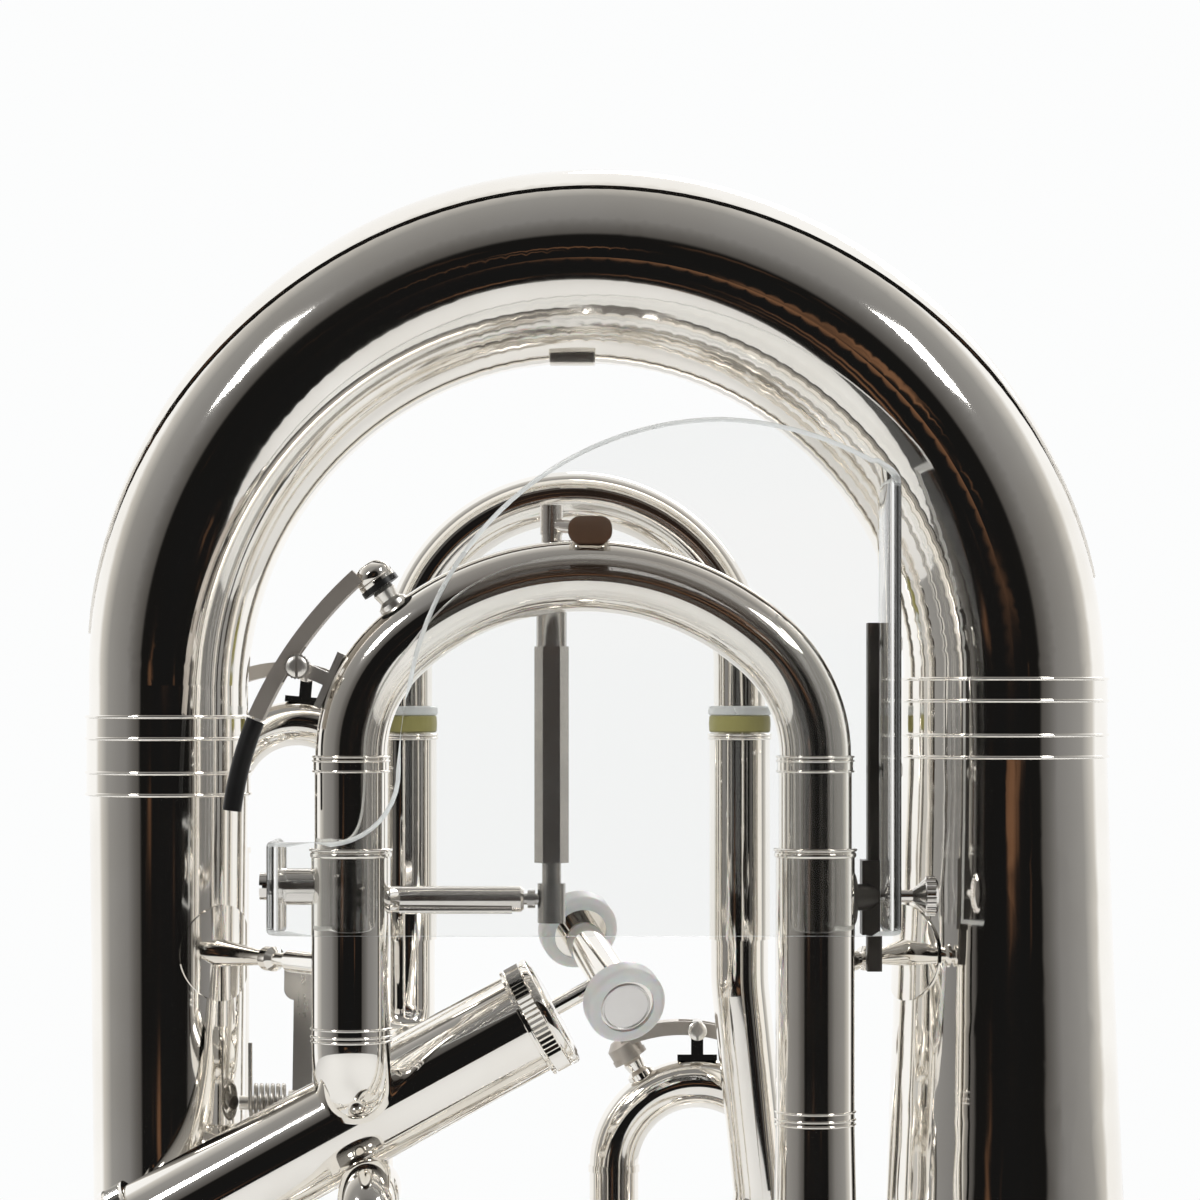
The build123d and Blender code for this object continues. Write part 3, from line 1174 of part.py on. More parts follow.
def make_spool():
    """The spool's barrel with its two flanges, on a stub that screws into the fourth valve's cap."""
    back, front = SPOOL_REACH
    low, high = -back, front
    flange = SPOOL_RING_LENGTH - 1.5
    points = [
        (0, low),
        (SPOOL_FLANGE_RADIUS, low),
        (SPOOL_FLANGE_RADIUS, low + flange),
        (SPOOL_BARREL_RADIUS, low + flange),
        (SPOOL_BARREL_RADIUS, high - flange),
        (SPOOL_FLANGE_RADIUS, high - flange),
        (SPOOL_FLANGE_RADIUS, high),
        (0, high),
    ]
    start = Vector(*CAP_POINT) + FOURTH_AXIS * 0.05
    return turned(points, spool_place()) + rod(start, SPOOL_CENTRE, 2.9)


def make_spool_rings():
    """Two soft white rings pressed over the spool's flanges."""
    back, front = SPOOL_REACH
    flange = SPOOL_RING_LENGTH - 1.5
    rings = []
    for low in (-back - 1.0, front - flange - 0.5):
        outer = Cylinder(SPOOL_RING_RADIUS, SPOOL_RING_LENGTH, align=BASE)
        outer = fillet(outer.edges().filter_by(GeomType.CIRCLE), 2.0)
        outer -= Pos(0, 0, -1) * Cylinder(SPOOL_FLANGE_RADIUS + SOLDER_GAP, SPOOL_RING_LENGTH + 2, align=BASE)
        rings.append(spool_place() * Pos(0, 0, low) * outer)
    return rings


def brace(start, end):
    """A turned brace: a cone, a raised ring, a neck and a plain cylinder."""
    length = (end - start).length
    shape = [
        (0, 0),
        (5.0, 0),
        (3.2, 0.3),
        (2.6, 0.42),
        (4.3, 0.46),
        (4.3, 0.52),
        (2.6, 0.55),
        (2.6, 0.66),
        (3.9, 0.68),
        (3.9, 1),
        (0, 1),
    ]
    points = [(radius, length * share) for radius, share in shape]
    return turned(points, Plane(origin=start, z_dir=end - start))



def make_left_brace():
    """The brace from the big leg to the left sleeve, with a round foot plate on the leg."""
    share = (BRACE_Z - TOP_BOW_Z) / (BOW_CENTRE_Z - BOW_STUB_LEG - TOP_BOW_Z)
    tube = TOP_BOW_LEG_RADIUS + (BOW_LEG_RADIUS - TOP_BOW_LEG_RADIUS) * share
    angle = math.radians(-40)
    start = leg_point(BRACE_Z) + Vector(math.cos(angle), math.sin(angle), 0) * (tube - 1)
    end = Vector(SLIDE_LEFT_X - 9.0, SLIDE_Y + 6.0, BRACE_Z)
    low, high = leg_point(BRACE_Z - 20), leg_point(BRACE_Z + 20)
    foot = rod(start - (end - start) * 0.2, end, 17.0) & rod(low, high, tube + 1.0)
    piece = brace(start, end) + foot - big_leg_core()
    return piece - sleeve_rod(SLIDE_LEFT_X, BRACE_Z)


def make_right_brace():
    """The brace from the bell's stem to the right sleeve, with a round foot plate on the bell."""
    tube = bell_radius(BRACE_Z)
    angle = math.radians(-162)
    start = bell_point(BRACE_Z) + Vector(math.cos(angle), math.sin(angle), 0) * (tube - 1)
    end = Vector(SLIDE_RIGHT_X + 4.0, SLIDE_Y + 9.0, BRACE_Z)
    low, high = bell_point(BRACE_Z - 20), bell_point(BRACE_Z + 20)
    sheath = cone(low, high, bell_radius(low.Z) + 1.1, bell_radius(high.Z) + 1.1)
    foot = rod(start - (end - start) * 0.2, end, 17.0) & sheath
    piece = brace(start, end) + foot
    piece -= cone(low, high, bell_radius(low.Z) + 0.1, bell_radius(high.Z) + 0.1)
    return piece - sleeve_rod(SLIDE_RIGHT_X, BRACE_Z)


def make_trigger_axle():
    """The trigger's axle, soldered to the big leg, with a round retaining head."""
    start = (-LEG_SPACING + BOW_LEG_RADIUS - 2.0, TRIGGER_Y, TRIGGER_Z)
    axle = rod(start, (AXLE_END_X, TRIGGER_Y, TRIGGER_Z), AXLE_RADIUS)
    head = (AXLE_END_X - 5.5, TRIGGER_Y, TRIGGER_Z)
    axle += rod(head, (AXLE_END_X, TRIGGER_Y, TRIGGER_Z), AXLE_RADIUS + 1.8)
    return axle - big_leg_core()


def make_trigger_lever():
    """The trigger: a hub on the axle, an arm and a thumb plate behind the left sleeve."""
    left, right = TRIGGER_HUB_X
    middle = (left + right) / 2
    hub = rod((left, TRIGGER_Y, TRIGGER_Z), (right, TRIGGER_Y, TRIGGER_Z), AXLE_RADIUS + 2.2)
    arm = Pos(middle, TRIGGER_Y, TRIGGER_Z) * Rot(-11, 0, 0) * Box(7.0, 3.4, 44.0, align=BASE)
    plate = Pos(middle + 4, TRIGGER_Y + 7.6, TRIGGER_Z + 44) * Rot(-11, 0, 0) * Box(22.0, 2.6, 16.0)
    plate = fillet(plate.edges().filter_by(lambda edge: abs(edge.length - 2.6) < 0.01), 4.0)
    lever = hub + arm + plate
    bore = AXLE_RADIUS + RUNNING_CLEARANCE
    return lever - rod((left - 1, TRIGGER_Y, TRIGGER_Z), (right + 1, TRIGGER_Y, TRIGGER_Z), bore)


def make_trigger_spring():
    """The torsion spring's coil, as a thin sleeve round the axle."""
    left = -LEG_SPACING + BOW_LEG_RADIUS + 1.6
    return pipe((left, TRIGGER_Y, TRIGGER_Z), (TRIGGER_HUB_X[0] - 0.6, TRIGGER_Y, TRIGGER_Z), 7.1, 1.5)


# ---- build ----

def save(name, shapes):
    """Writes one named piece, or a group of separate ones, to parts/."""
    pieces = shapes if isinstance(shapes, list) else [shapes]
    solids = [solid for piece in pieces for solid in piece.solids()]
    part = solids[0] if len(solids) == 1 else Compound(children=solids)
    export_step(part, f"parts/{name}.step")


def main():
    os.makedirs("parts", exist_ok=True)
    save("bell", make_bell())
    save("bottom_bow", make_bottom_bow())
    save("bow_guard", make_bow_guard())
    save("bow_ferrules", make_bow_ferrules())
    save("big_leg", make_big_leg())
    save("top_bow", make_top_bow())
    save("main_slide_bow", make_main_slide_bow())
    save("main_slide_legs", make_main_slide_legs())
    save("main_key_seat", make_main_key_seat())
    save("main_key_lever", make_main_key_lever())
    save("main_key_pad", make_main_key_pad())
    save("main_key_grip", make_main_key_grip())
    save("right_sleeve", make_right_sleeve())
    save("left_sleeve", make_left_sleeve())
    save("sleeve_rings", make_sleeve_rings())
    save("first_casing", make_casing("first", first_ports()))
    save("second_casing", make_casing("second", second_ports()))
    save("third_casing", make_casing("third", third_ports()))
    save("fourth_casing", make_casing("fourth", fourth_ports()))
    save("bottom_caps", make_bottom_caps())
    save("top_caps", make_top_caps())
    save("fourth_bottom_cap", valve_plane("fourth") * knurled_cap(0))
    save("fourth_top_cap", top_cap_place("fourth") * knurled_cap(STEM_RADIUS + RUNNING_CLEARANCE))
    for name in ("first", "second", "third", "fourth"):
        save(f"{name}_piston", make_piston(name))
        save(f"{name}_valve_spring", make_valve_spring(name))
    save("link_tubes", make_link_tubes())
    save("fourth_left_branch", make_fourth_branch("left"))
    save("fourth_right_branch", make_fourth_branch("right"))
    save("third_branches", make_third_branches())
    save("first_branches", make_first_branches())
    save("second_branches", make_second_branches())
    save("leadpipe", make_leadpipe())
    save("mouthpiece_receiver", make_receiver())
    save("fourth_slide", make_fourth_slide())
    save("fourth_slide_bumpers", make_fourth_bumpers())
    save("third_slide", make_third_slide())
    save("third_key", make_third_key())
    save("first_slide", make_first_slide())
    save("first_key", make_first_key())
    save("second_slide", make_second_slide())
    save("guard_sheet", make_guard_sheet())
    save("guard_bar", make_guard_bar())
    save("guard_screws", make_guard_screws())
    save("thumb_screw", make_thumb_screw())
    save("rod_barrel", make_rod_barrel())
    save("rod_arm", make_rod_arm())
    save("rod_plunger", make_rod_plunger())
    save("spool", make_spool())
    save("spool_rings", make_spool_rings())
    save("left_brace", make_left_brace())
    save("right_brace", make_right_brace())
    save("trigger_axle", make_trigger_axle())
    save("trigger_lever", make_trigger_lever())
    save("trigger_spring", make_trigger_spring())


main()
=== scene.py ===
import json
import math

import bmesh
import bpy
from mathutils import Matrix, Vector


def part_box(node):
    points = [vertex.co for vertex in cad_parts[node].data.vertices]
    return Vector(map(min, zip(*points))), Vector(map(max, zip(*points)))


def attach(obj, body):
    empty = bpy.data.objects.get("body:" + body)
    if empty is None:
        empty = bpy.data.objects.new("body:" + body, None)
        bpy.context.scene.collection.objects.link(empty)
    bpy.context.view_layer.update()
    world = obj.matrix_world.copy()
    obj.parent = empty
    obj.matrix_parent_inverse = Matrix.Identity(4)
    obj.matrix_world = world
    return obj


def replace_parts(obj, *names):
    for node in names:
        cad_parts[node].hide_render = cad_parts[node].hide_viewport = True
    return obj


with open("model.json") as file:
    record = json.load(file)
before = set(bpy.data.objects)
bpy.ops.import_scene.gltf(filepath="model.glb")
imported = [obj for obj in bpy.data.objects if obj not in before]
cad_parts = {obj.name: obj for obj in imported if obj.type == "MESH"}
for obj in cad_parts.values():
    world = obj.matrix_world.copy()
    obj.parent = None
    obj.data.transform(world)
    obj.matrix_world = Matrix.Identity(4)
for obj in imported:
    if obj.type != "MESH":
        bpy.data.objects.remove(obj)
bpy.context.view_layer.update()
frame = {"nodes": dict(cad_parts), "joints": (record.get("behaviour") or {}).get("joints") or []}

# ---- Bell ----
# A wide tuba bell, spun from sheet brass and silver plated, with a wire rolled into its rim.
# The instrument stands on it. The plating is polished, with fine wiping marks and a faint bloom.
SILVER_COLOUR = (0.955, 0.93, 0.885, 1)
SILVER_BLOOM = (0.87, 0.835, 0.775, 1)
BUMP_DISTANCE = 0.0004


def node_of(tree, kind, **values):
    """A new shader node with some of its settings."""
    node = tree.nodes.new(kind)
    for name, value in values.items():
        setattr(node, name, value)
    return node


def spanned(tree, low, high, to_low=0.0, to_high=1.0):
    """A map range node that takes one span of values to another."""
    node = node_of(tree, "ShaderNodeMapRange")
    for socket, value in (("From Min", low), ("From Max", high), ("To Min", to_low), ("To Max", to_high)):
        node.inputs[socket].default_value = value
    return node


def noise(tree, scale, detail):
    """A noise texture node."""
    node = node_of(tree, "ShaderNodeTexNoise")
    node.inputs["Scale"].default_value = scale
    node.inputs["Detail"].default_value = detail
    return node


def marks_group():
    """Wiping marks and bloom: a mask, a roughness and a height from two sizes of noise."""
    tree = bpy.data.node_groups.new("wiping marks", "ShaderNodeTree")
    side = tree.interface
    side.new_socket("Vector", in_out="INPUT", socket_type="NodeSocketVector")
    for name, value in (("Low", 0.05), ("High", 0.12)):
        side.new_socket(name, in_out="INPUT", socket_type="NodeSocketFloat").default_value = value
    for name in ("Roughness", "Mask", "Height"):
        side.new_socket(name, in_out="OUTPUT", socket_type="NodeSocketFloat")
    start = node_of(tree, "NodeGroupInput")
    end = node_of(tree, "NodeGroupOutput")
    bloom = noise(tree, 16, 4)
    wipe = noise(tree, 260, 6)
    squeeze = node_of(tree, "ShaderNodeMapping")
    squeeze.inputs["Scale"].default_value = (1, 1, 0.12)
    ramp = spanned(tree, 0.42, 0.72)
    blend = node_of(tree, "ShaderNodeMath", operation="MULTIPLY_ADD")
    blend.inputs[1].default_value = 0.35
    spread = node_of(tree, "ShaderNodeMapRange")
    link = tree.links.new
    link(start.outputs["Vector"], bloom.inputs["Vector"])
    link(start.outputs["Vector"], squeeze.inputs["Vector"])
    link(squeeze.outputs["Vector"], wipe.inputs["Vector"])
    link(bloom.outputs["Fac"], ramp.inputs["Value"])
    link(wipe.outputs["Fac"], blend.inputs[0])
    link(ramp.outputs["Result"], blend.inputs[2])
    link(blend.outputs[0], spread.inputs["Value"])
    link(start.outputs["Low"], spread.inputs["To Min"])
    link(start.outputs["High"], spread.inputs["To Max"])
    link(spread.outputs["Result"], end.inputs["Roughness"])
    link(ramp.outputs["Result"], end.inputs["Mask"])
    link(wipe.outputs["Fac"], end.inputs["Height"])
    return tree


marks = marks_group()


def finish_of(name, colour, worn, low, high, metallic=1.0, bump=0.0, **sockets):
    """A material whose colour runs from colour to worn and roughness from low to high with the marks."""
    material = bpy.data.materials.new(name)
    material.use_nodes = True
    tree = material.node_tree
    shader = tree.nodes["Principled BSDF"]
    shader.inputs["Metallic"].default_value = metallic
    for socket, value in sockets.items():
        shader.inputs[socket.replace("_", " ")].default_value = value
    place = node_of(tree, "ShaderNodeTexCoord")
    group = node_of(tree, "ShaderNodeGroup", node_tree=marks)
    group.inputs["Low"].default_value = low
    group.inputs["High"].default_value = high
    mix = node_of(tree, "ShaderNodeMix", data_type="RGBA")
    mix.inputs["A"].default_value = colour
    mix.inputs["B"].default_value = worn
    link = tree.links.new
    link(place.outputs["Object"], group.inputs["Vector"])
    link(group.outputs["Mask"], mix.inputs["Factor"])
    link(mix.outputs["Result"], shader.inputs["Base Color"])
    link(group.outputs["Roughness"], shader.inputs["Roughness"])
    if bump:
        raised = node_of(tree, "ShaderNodeBump")
        raised.inputs["Strength"].default_value = bump
        raised.inputs["Distance"].default_value = BUMP_DISTANCE
        link(group.outputs["Height"], raised.inputs["Height"])
        link(raised.outputs["Normal"], shader.inputs["Normal"])
    return material


def coat(material, *nodes):
    """Gives CAD nodes this material."""
    for node in nodes:
        mesh = frame["nodes"][node].data
        mesh.materials.clear()
        mesh.materials.append(material)


silver = finish_of("silver plate", SILVER_COLOUR, SILVER_BLOOM, 0.035, 0.09)
cast_silver = finish_of("cast and plated silver", SILVER_COLOUR, SILVER_BLOOM, 0.26, 0.36, bump=0.06)
coat(silver, "bell")

# ---- Large bows and big leg ----
# The bottom bow, the long tapered leg and the top bow: brass tubes drawn and bent, then plated.
# Telescoped joints are soldered under ferrules, and a guard plate covers the bow's outermost line.
BEAD_RADIUS = 0.00065
BEAD_SHARES = (0.0, 0.28, 0.72, 1.0)
BEAD_STEPS = 8
BAND_WALL = 0.0009
BAND_HALF = 0.0145
LEG_BAND = 0.02852
BELL_BAND = 0.03612
FOOT_BAND = 0.02552
FOOT_BAND_HEIGHT = 0.018
BRANCH_BAND = 0.01752
BRANCH_BAND_HEIGHT = 0.014
TAB_SIZE = (0.0162, 0.0092, 0.0042)
TAB_EDGE = 0.0006
TAB_X = -0.005
TAB_Y = -0.009
TAB_DROP = 0.0677
bow_low, bow_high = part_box("bottom_bow")
leg_low, leg_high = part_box("big_leg")
LEG_X = (leg_low[0] + leg_high[0]) / 2


def solid(name, mesh, material, body="body", smooth=40):
    """Makes a mesh into a piece that rides on a body."""
    bmesh.ops.recalc_face_normals(mesh, faces=mesh.faces)
    data = bpy.data.meshes.new(name)
    mesh.to_mesh(data)
    mesh.free()
    data.shade_smooth()
    data.set_sharp_from_angle(angle=math.radians(smooth))
    data.materials.append(material)
    piece = bpy.data.objects.new(name, data)
    bpy.context.scene.collection.objects.link(piece)
    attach(piece, body)
    return piece


def aim(origin, direction):
    """The matrix that puts a piece built round +Z at origin, along direction."""
    turn = Vector(direction).to_track_quat("Z", "Y").to_matrix().to_4x4()
    return Matrix.Translation(Vector(origin)) @ turn


def turned(mesh, outline, origin=(0, 0, 0), direction=(0, 0, 1), steps=64):
    """Adds a turned shape: radius and height pairs, a closed loop, spun about its axis."""
    corners = [mesh.verts.new((radius, 0, height)) for radius, height in outline]
    edges = [mesh.edges.new(pair) for pair in zip(corners, corners[1:] + corners[:1])]
    ends = [edge for edge in edges if all(abs(v.co.x) < 1e-7 for v in edge.verts)]
    for edge in ends:
        edges.remove(edge)
        mesh.edges.remove(edge)
    bmesh.ops.spin(
        mesh, geom=corners + edges, cent=(0, 0, 0), axis=(0, 0, 1), angle=2 * math.pi, steps=steps,
        use_merge=True,
    )
    fresh = [v for v in mesh.verts if not v.tag]
    bmesh.ops.remove_doubles(mesh, verts=fresh, dist=1e-6)
    fresh = [v for v in mesh.verts if not v.tag]
    bmesh.ops.transform(mesh, matrix=aim(origin, direction), verts=fresh)
    for vertex in fresh:
        vertex.tag = True


def beaded_band(inner, low, high):
    """The outline of a ferrule: a thin band with four rounded beads."""
    outer = inner + BAND_WALL
    outline = [(inner, high), (inner, low)]
    for share in BEAD_SHARES:
        middle = low + BEAD_RADIUS + (high - low - 2 * BEAD_RADIUS) * share
        for step in range(BEAD_STEPS + 1):
            angle = math.pi * (step / BEAD_STEPS - 0.5)
            outline.append((outer + BEAD_RADIUS * math.cos(angle), middle + BEAD_RADIUS * math.sin(angle)))
    return outline


ferrules = bmesh.new()
leg_joint = bow_low[2]
turned(ferrules, beaded_band(LEG_BAND, leg_joint - BAND_HALF, leg_joint + BAND_HALF), (LEG_X, 0, 0), steps=128)
bell_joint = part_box("bell")[1][2]
turned(ferrules, beaded_band(BELL_BAND, bell_joint - BAND_HALF, bell_joint + BAND_HALF), steps=128)
leg_foot = leg_low[2]
turned(ferrules, beaded_band(FOOT_BAND, leg_foot, leg_foot + FOOT_BAND_HEIGHT), (LEG_X, 0, 0), steps=128)
branch_low, branch_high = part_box("right_sleeve")
BRANCH_X = (branch_low[0] + branch_high[0]) / 2
SLIDE_Y = (branch_low[1] + branch_high[1]) / 2
branch_band = beaded_band(BRANCH_BAND, leg_foot, leg_foot + BRANCH_BAND_HEIGHT)
turned(ferrules, branch_band, (BRANCH_X, SLIDE_Y, 0), steps=96)
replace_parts(solid("beaded_ferrules", ferrules, silver), "bow_ferrules")
coat(silver, "bottom_bow", "bow_guard", "big_leg", "top_bow")
tab = bmesh.new()
bmesh.ops.create_cube(tab, size=1)
bmesh.ops.scale(tab, vec=TAB_SIZE, verts=tab.verts)
bmesh.ops.bevel(tab, geom=tab.edges[:], offset=TAB_EDGE, segments=3, profile=0.5, affect="EDGES", material=-1)
bmesh.ops.translate(tab, vec=(LEG_X / 2 + TAB_X, TAB_Y, bow_high[2] - TAB_DROP), verts=tab.verts)
solid("bow_tab", tab, cast_silver)

# ---- Main tuning slide ----
# The small front bow on two inner legs that run in outer sleeves, which lead to the top bow and
# by an elbow to the fourth valve. Nickel silver and brass tube, soldered, plated and hand lapped.
coat(silver, "main_slide_bow", "main_slide_legs", "left_sleeve", "right_sleeve")
left_low, left_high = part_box("left_sleeve")
SLEEVE_RADIUS = (left_high[0] - left_low[0]) / 2 + 0.00002
LEFT_X = (left_high[0] + left_low[0]) / 2
SLEEVE_TOP = left_high[2]
LEFT_BAND_Z = 0.5955
RIGHT_BAND_Z = 0.5675
COLLAR_Z = 0.6864
COLLAR_RADIUS = 0.01246
BACK_TUBE = 0.00965
BACK_SLEEVE = 0.01132
BACK_TOP = 0.6985
FLATTEST = 0.08
# Rounded rings: how far above a line each starts, how far it stands out, and its height.
SLEEVE_END_RINGS = ((-0.0032, 0.0005, 0.0018), (-0.0012, 0.0008, 0.0012))
BAND_RINGS = ((0, 0.00055, 0.0009), (0.0016, 0.00055, 0.0009), (0.0042, 0.00055, 0.0009))
COLLAR_RINGS = ((0, 0.0008, 0.0009), (0.0035, 0.0008, 0.0009), (0.0049, 0.0008, 0.0009))
BACK_RINGS = ((-0.0024, 0.0007, 0.0012), (-0.0011, 0.0007, 0.0011))


def bead(radius, z, rise, height):
    """The outline of a rounded ring that stands proud of a tube."""
    outline = [(radius, z + height), (radius, z)]
    for step in range(BEAD_STEPS + 1):
        angle = math.pi * (step / BEAD_STEPS - 0.5)
        reach = rise * max(FLATTEST, math.cos(angle))
        outline.append((radius + reach, z + height / 2 * (1 + math.sin(angle))))
    return outline


def ring_set(mesh, x, y, radius, line_z, shapes, steps=96):
    """Adds a set of rounded rings round an upright tube at x and y."""
    for above, rise, height in shapes:
        turned(mesh, bead(radius, line_z + above, rise, height), (x, y, 0), steps=steps)


rings = bmesh.new()
lines = bmesh.new()
for ring_x, band_z in ((LEFT_X, LEFT_BAND_Z), (BRANCH_X, RIGHT_BAND_Z)):
    ring_set(rings, ring_x, SLIDE_Y, SLEEVE_RADIUS, SLEEVE_TOP, SLEEVE_END_RINGS)
    ring_set(rings, ring_x, SLIDE_Y, SLEEVE_RADIUS, band_z, BAND_RINGS)
    ring_set(lines, ring_x, SLIDE_Y, COLLAR_RADIUS, COLLAR_Z, COLLAR_RINGS)
back_low, back_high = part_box("fourth_slide")
back_y = (back_low[1] + back_high[1]) / 2
for ring_x in (back_low[0] + BACK_TUBE, back_high[0] - BACK_TUBE):
    ring_set(rings, ring_x, back_y, BACK_SLEEVE, BACK_TOP, BACK_RINGS, steps=80)
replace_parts(solid("sleeve_beads", rings, silver), "sleeve_rings")
solid("slide_joint_beads", lines, silver, "main_slide")

# ---- Main water key ----
# A flat nickel lever on a soldered hinge post, with a sprung cup that seals the drain nipple.
# A rubber sleeve covers its tail, and a slotted pivot screw with a toothed washer holds it.
SATIN_COLOUR = (0.56, 0.52, 0.475, 1)
SATIN_WORN = (0.42, 0.38, 0.34, 1)
RUBBER_COLOUR = (0.006, 0.006, 0.0065, 1)
RUBBER_DUST = (0.014, 0.0135, 0.013, 1)
PIVOT_HEAD = 0.0036
PIVOT_RISE = 0.0014
SLOT_WIDTH = 0.0009
WASHER_TEETH = 22
WASHER_RADIUS = 0.0044
WASHER_THICKNESS = 0.0005
TOOTH_DEPTH = 0.0004
SEAT_OVERLAP = 0.00002
HEAD_SEAT = 0.0004
CUP_RADIUS = 0.00648
PAD_HEIGHT = 0.0020
BOW_SIDE_ARC = 0.0500
BOW_CENTRE_Z = 0.692
satin = finish_of("satin nickel", SATIN_COLOUR, SATIN_WORN, 0.42, 0.52, bump=0.12)
rubber = finish_of(
    "black rubber", RUBBER_COLOUR, RUBBER_DUST, 0.3, 0.42, metallic=0.0, bump=0.25, Specular_IOR_Level=0.3,
)
coat(satin, "main_key_lever")
coat(rubber, "main_key_pad", "main_key_grip")
coat(cast_silver, "main_key_seat")


def axis_middle(node):
    """The middle of a CAD node's box, which lies on the axis of a turned one."""
    low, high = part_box(node)
    return (Vector(low) + Vector(high)) / 2


def joint_named(name):
    """The frame's joint of this name."""
    return next(joint for joint in frame["joints"] if joint["name"] == name)


def toothed(mesh, outline, teeth, origin, direction):
    """Adds a shape of rings about its axis whose rim is toothed: radius, height and tooth depth."""
    rings = []
    place = aim(origin, direction)
    for radius, height, depth in outline:
        if radius == 0:
            rings.append([mesh.verts.new(place @ Vector((0, 0, height)))])
            continue
        ring = []
        for step in range(2 * teeth):
            angle = math.pi * step / teeth
            reach = radius - depth * (step % 2)
            corner = Vector((reach * math.cos(angle), reach * math.sin(angle), height))
            ring.append(mesh.verts.new(place @ corner))
        rings.append(ring)
    for low, high in zip(rings, rings[1:]):
        count = max(len(low), len(high))
        for step in range(count):
            after = (step + 1) % count
            below = [low[step % len(low)], low[after % len(low)]]
            above = [high[after % len(high)], high[step % len(high)]]
            mesh.faces.new(list(dict.fromkeys(below + above)))
    for ring in rings:
        for vertex in ring:
            vertex.tag = True


def slotted_head(mesh, radius, rise, width, origin, direction):
    """Adds a low domed screw head: two halves either side of a straight driver slot, on one floor."""
    half = width / 2
    floor_outline = [(0, 0), (radius, 0), (radius, rise * 0.45), (0, rise * 0.45)]
    dome = [(0, 0), (radius, 0), (radius, rise * 0.5), (radius * 0.86, rise * 0.85),
            (radius * 0.5, rise), (0, rise)]
    for outline, sides in ((floor_outline, (0,)), (dome, (-1, 1))):
        for side in sides:
            head = bmesh.new()
            turned(head, outline, steps=48)
            if side:
                everything = head.verts[:] + head.edges[:] + head.faces[:]
                bmesh.ops.bisect_plane(
                    head, geom=everything, plane_co=(side * half, 0, 0), plane_no=(side, 0, 0),
                    clear_inner=True,
                )
                rim = [edge for edge in head.edges if len(edge.link_faces) == 1]
                bmesh.ops.edgeloop_fill(head, edges=rim)
            bmesh.ops.transform(head, matrix=aim(origin, direction), verts=head.verts)
            bmesh.ops.recalc_face_normals(head, faces=head.faces)
            data = bpy.data.meshes.new("head")
            head.to_mesh(data)
            head.free()
            mesh.from_mesh(data)
            bpy.data.meshes.remove(data)
    for vertex in mesh.verts:
        vertex.tag = True


pivot = bmesh.new()
hinge = Vector(joint_named("main_key_press")["pos_m"])
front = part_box("main_key_seat")[0][1]
washer = [
    (0, 0, 0), (WASHER_RADIUS, 0, TOOTH_DEPTH), (WASHER_RADIUS, WASHER_THICKNESS, TOOTH_DEPTH),
    (0, WASHER_THICKNESS, 0),
]
toothed(pivot, washer, WASHER_TEETH, (hinge.x, front + SEAT_OVERLAP, hinge.z), (0, -1, 0))
head_seat = (hinge.x, front - HEAD_SEAT, hinge.z)
slotted_head(pivot, PIVOT_HEAD, PIVOT_RISE, SLOT_WIDTH, head_seat, (0, -1, 0))
solid("main_pivot_screw", pivot, cast_silver, "main_slide")
bow_middle = Vector((LEFT_X + BOW_SIDE_ARC, SLIDE_Y, BOW_CENTRE_Z))
pad_middle = axis_middle("main_key_pad")
outward = (pad_middle - bow_middle).normalized()
cup = bmesh.new()
cup_outline = [(0, 0), (CUP_RADIUS, 0), (CUP_RADIUS + 0.0001, 0.0012), (CUP_RADIUS - 0.0002, 0.0015),
               (CUP_RADIUS, 0.0019), (CUP_RADIUS, 0.0041), (CUP_RADIUS - 0.0003, 0.0046), (0.0042, 0.0068),
               (0.0030, 0.0074), (0, 0.0076)]
turned(cup, cup_outline, pad_middle + outward * (PAD_HEIGHT / 2), outward, steps=80)
solid("main_key_cup", cup, silver, "main_key")

# ---- Back slide and its bumpers ----
# The fourth valve's slide, a plain U of drawn tube whose legs run in sleeves behind the main slide.
# Felt rings under clear plastic rings soften its landing on the sleeve ends.
FELT_COLOUR = (0.36, 0.335, 0.115, 1)
FELT_SHADE = (0.235, 0.215, 0.075, 1)
ACRYLIC_IOR = 1.49
RING_REACH = 0.0117
RING_CORNER = 0.0005
RING_SHOULDER = 0.0112
FELT_HEIGHT = 0.0064
FELT_CORNER = 0.0006
FELT_TOP = 0.0107
FELT_SIDE = 0.01135
FELT_WAIST = 0.0115
CLEAR_HEIGHT = 0.0034
TUBE_RADIUS = 0.00967
felt = finish_of("olive felt", FELT_COLOUR, FELT_SHADE, 0.88, 0.98, metallic=0.0, bump=0.9, Sheen_Weight=0.5)
coat(silver, "fourth_slide", "fourth_left_branch", "fourth_right_branch")


def clear_plastic(name, tint, low, high):
    """A clear plastic: its surface marks only change how sharply it mirrors and lets light through."""
    return finish_of(name, tint, tint, low, high, metallic=0.0, Transmission_Weight=1.0, IOR=ACRYLIC_IOR)


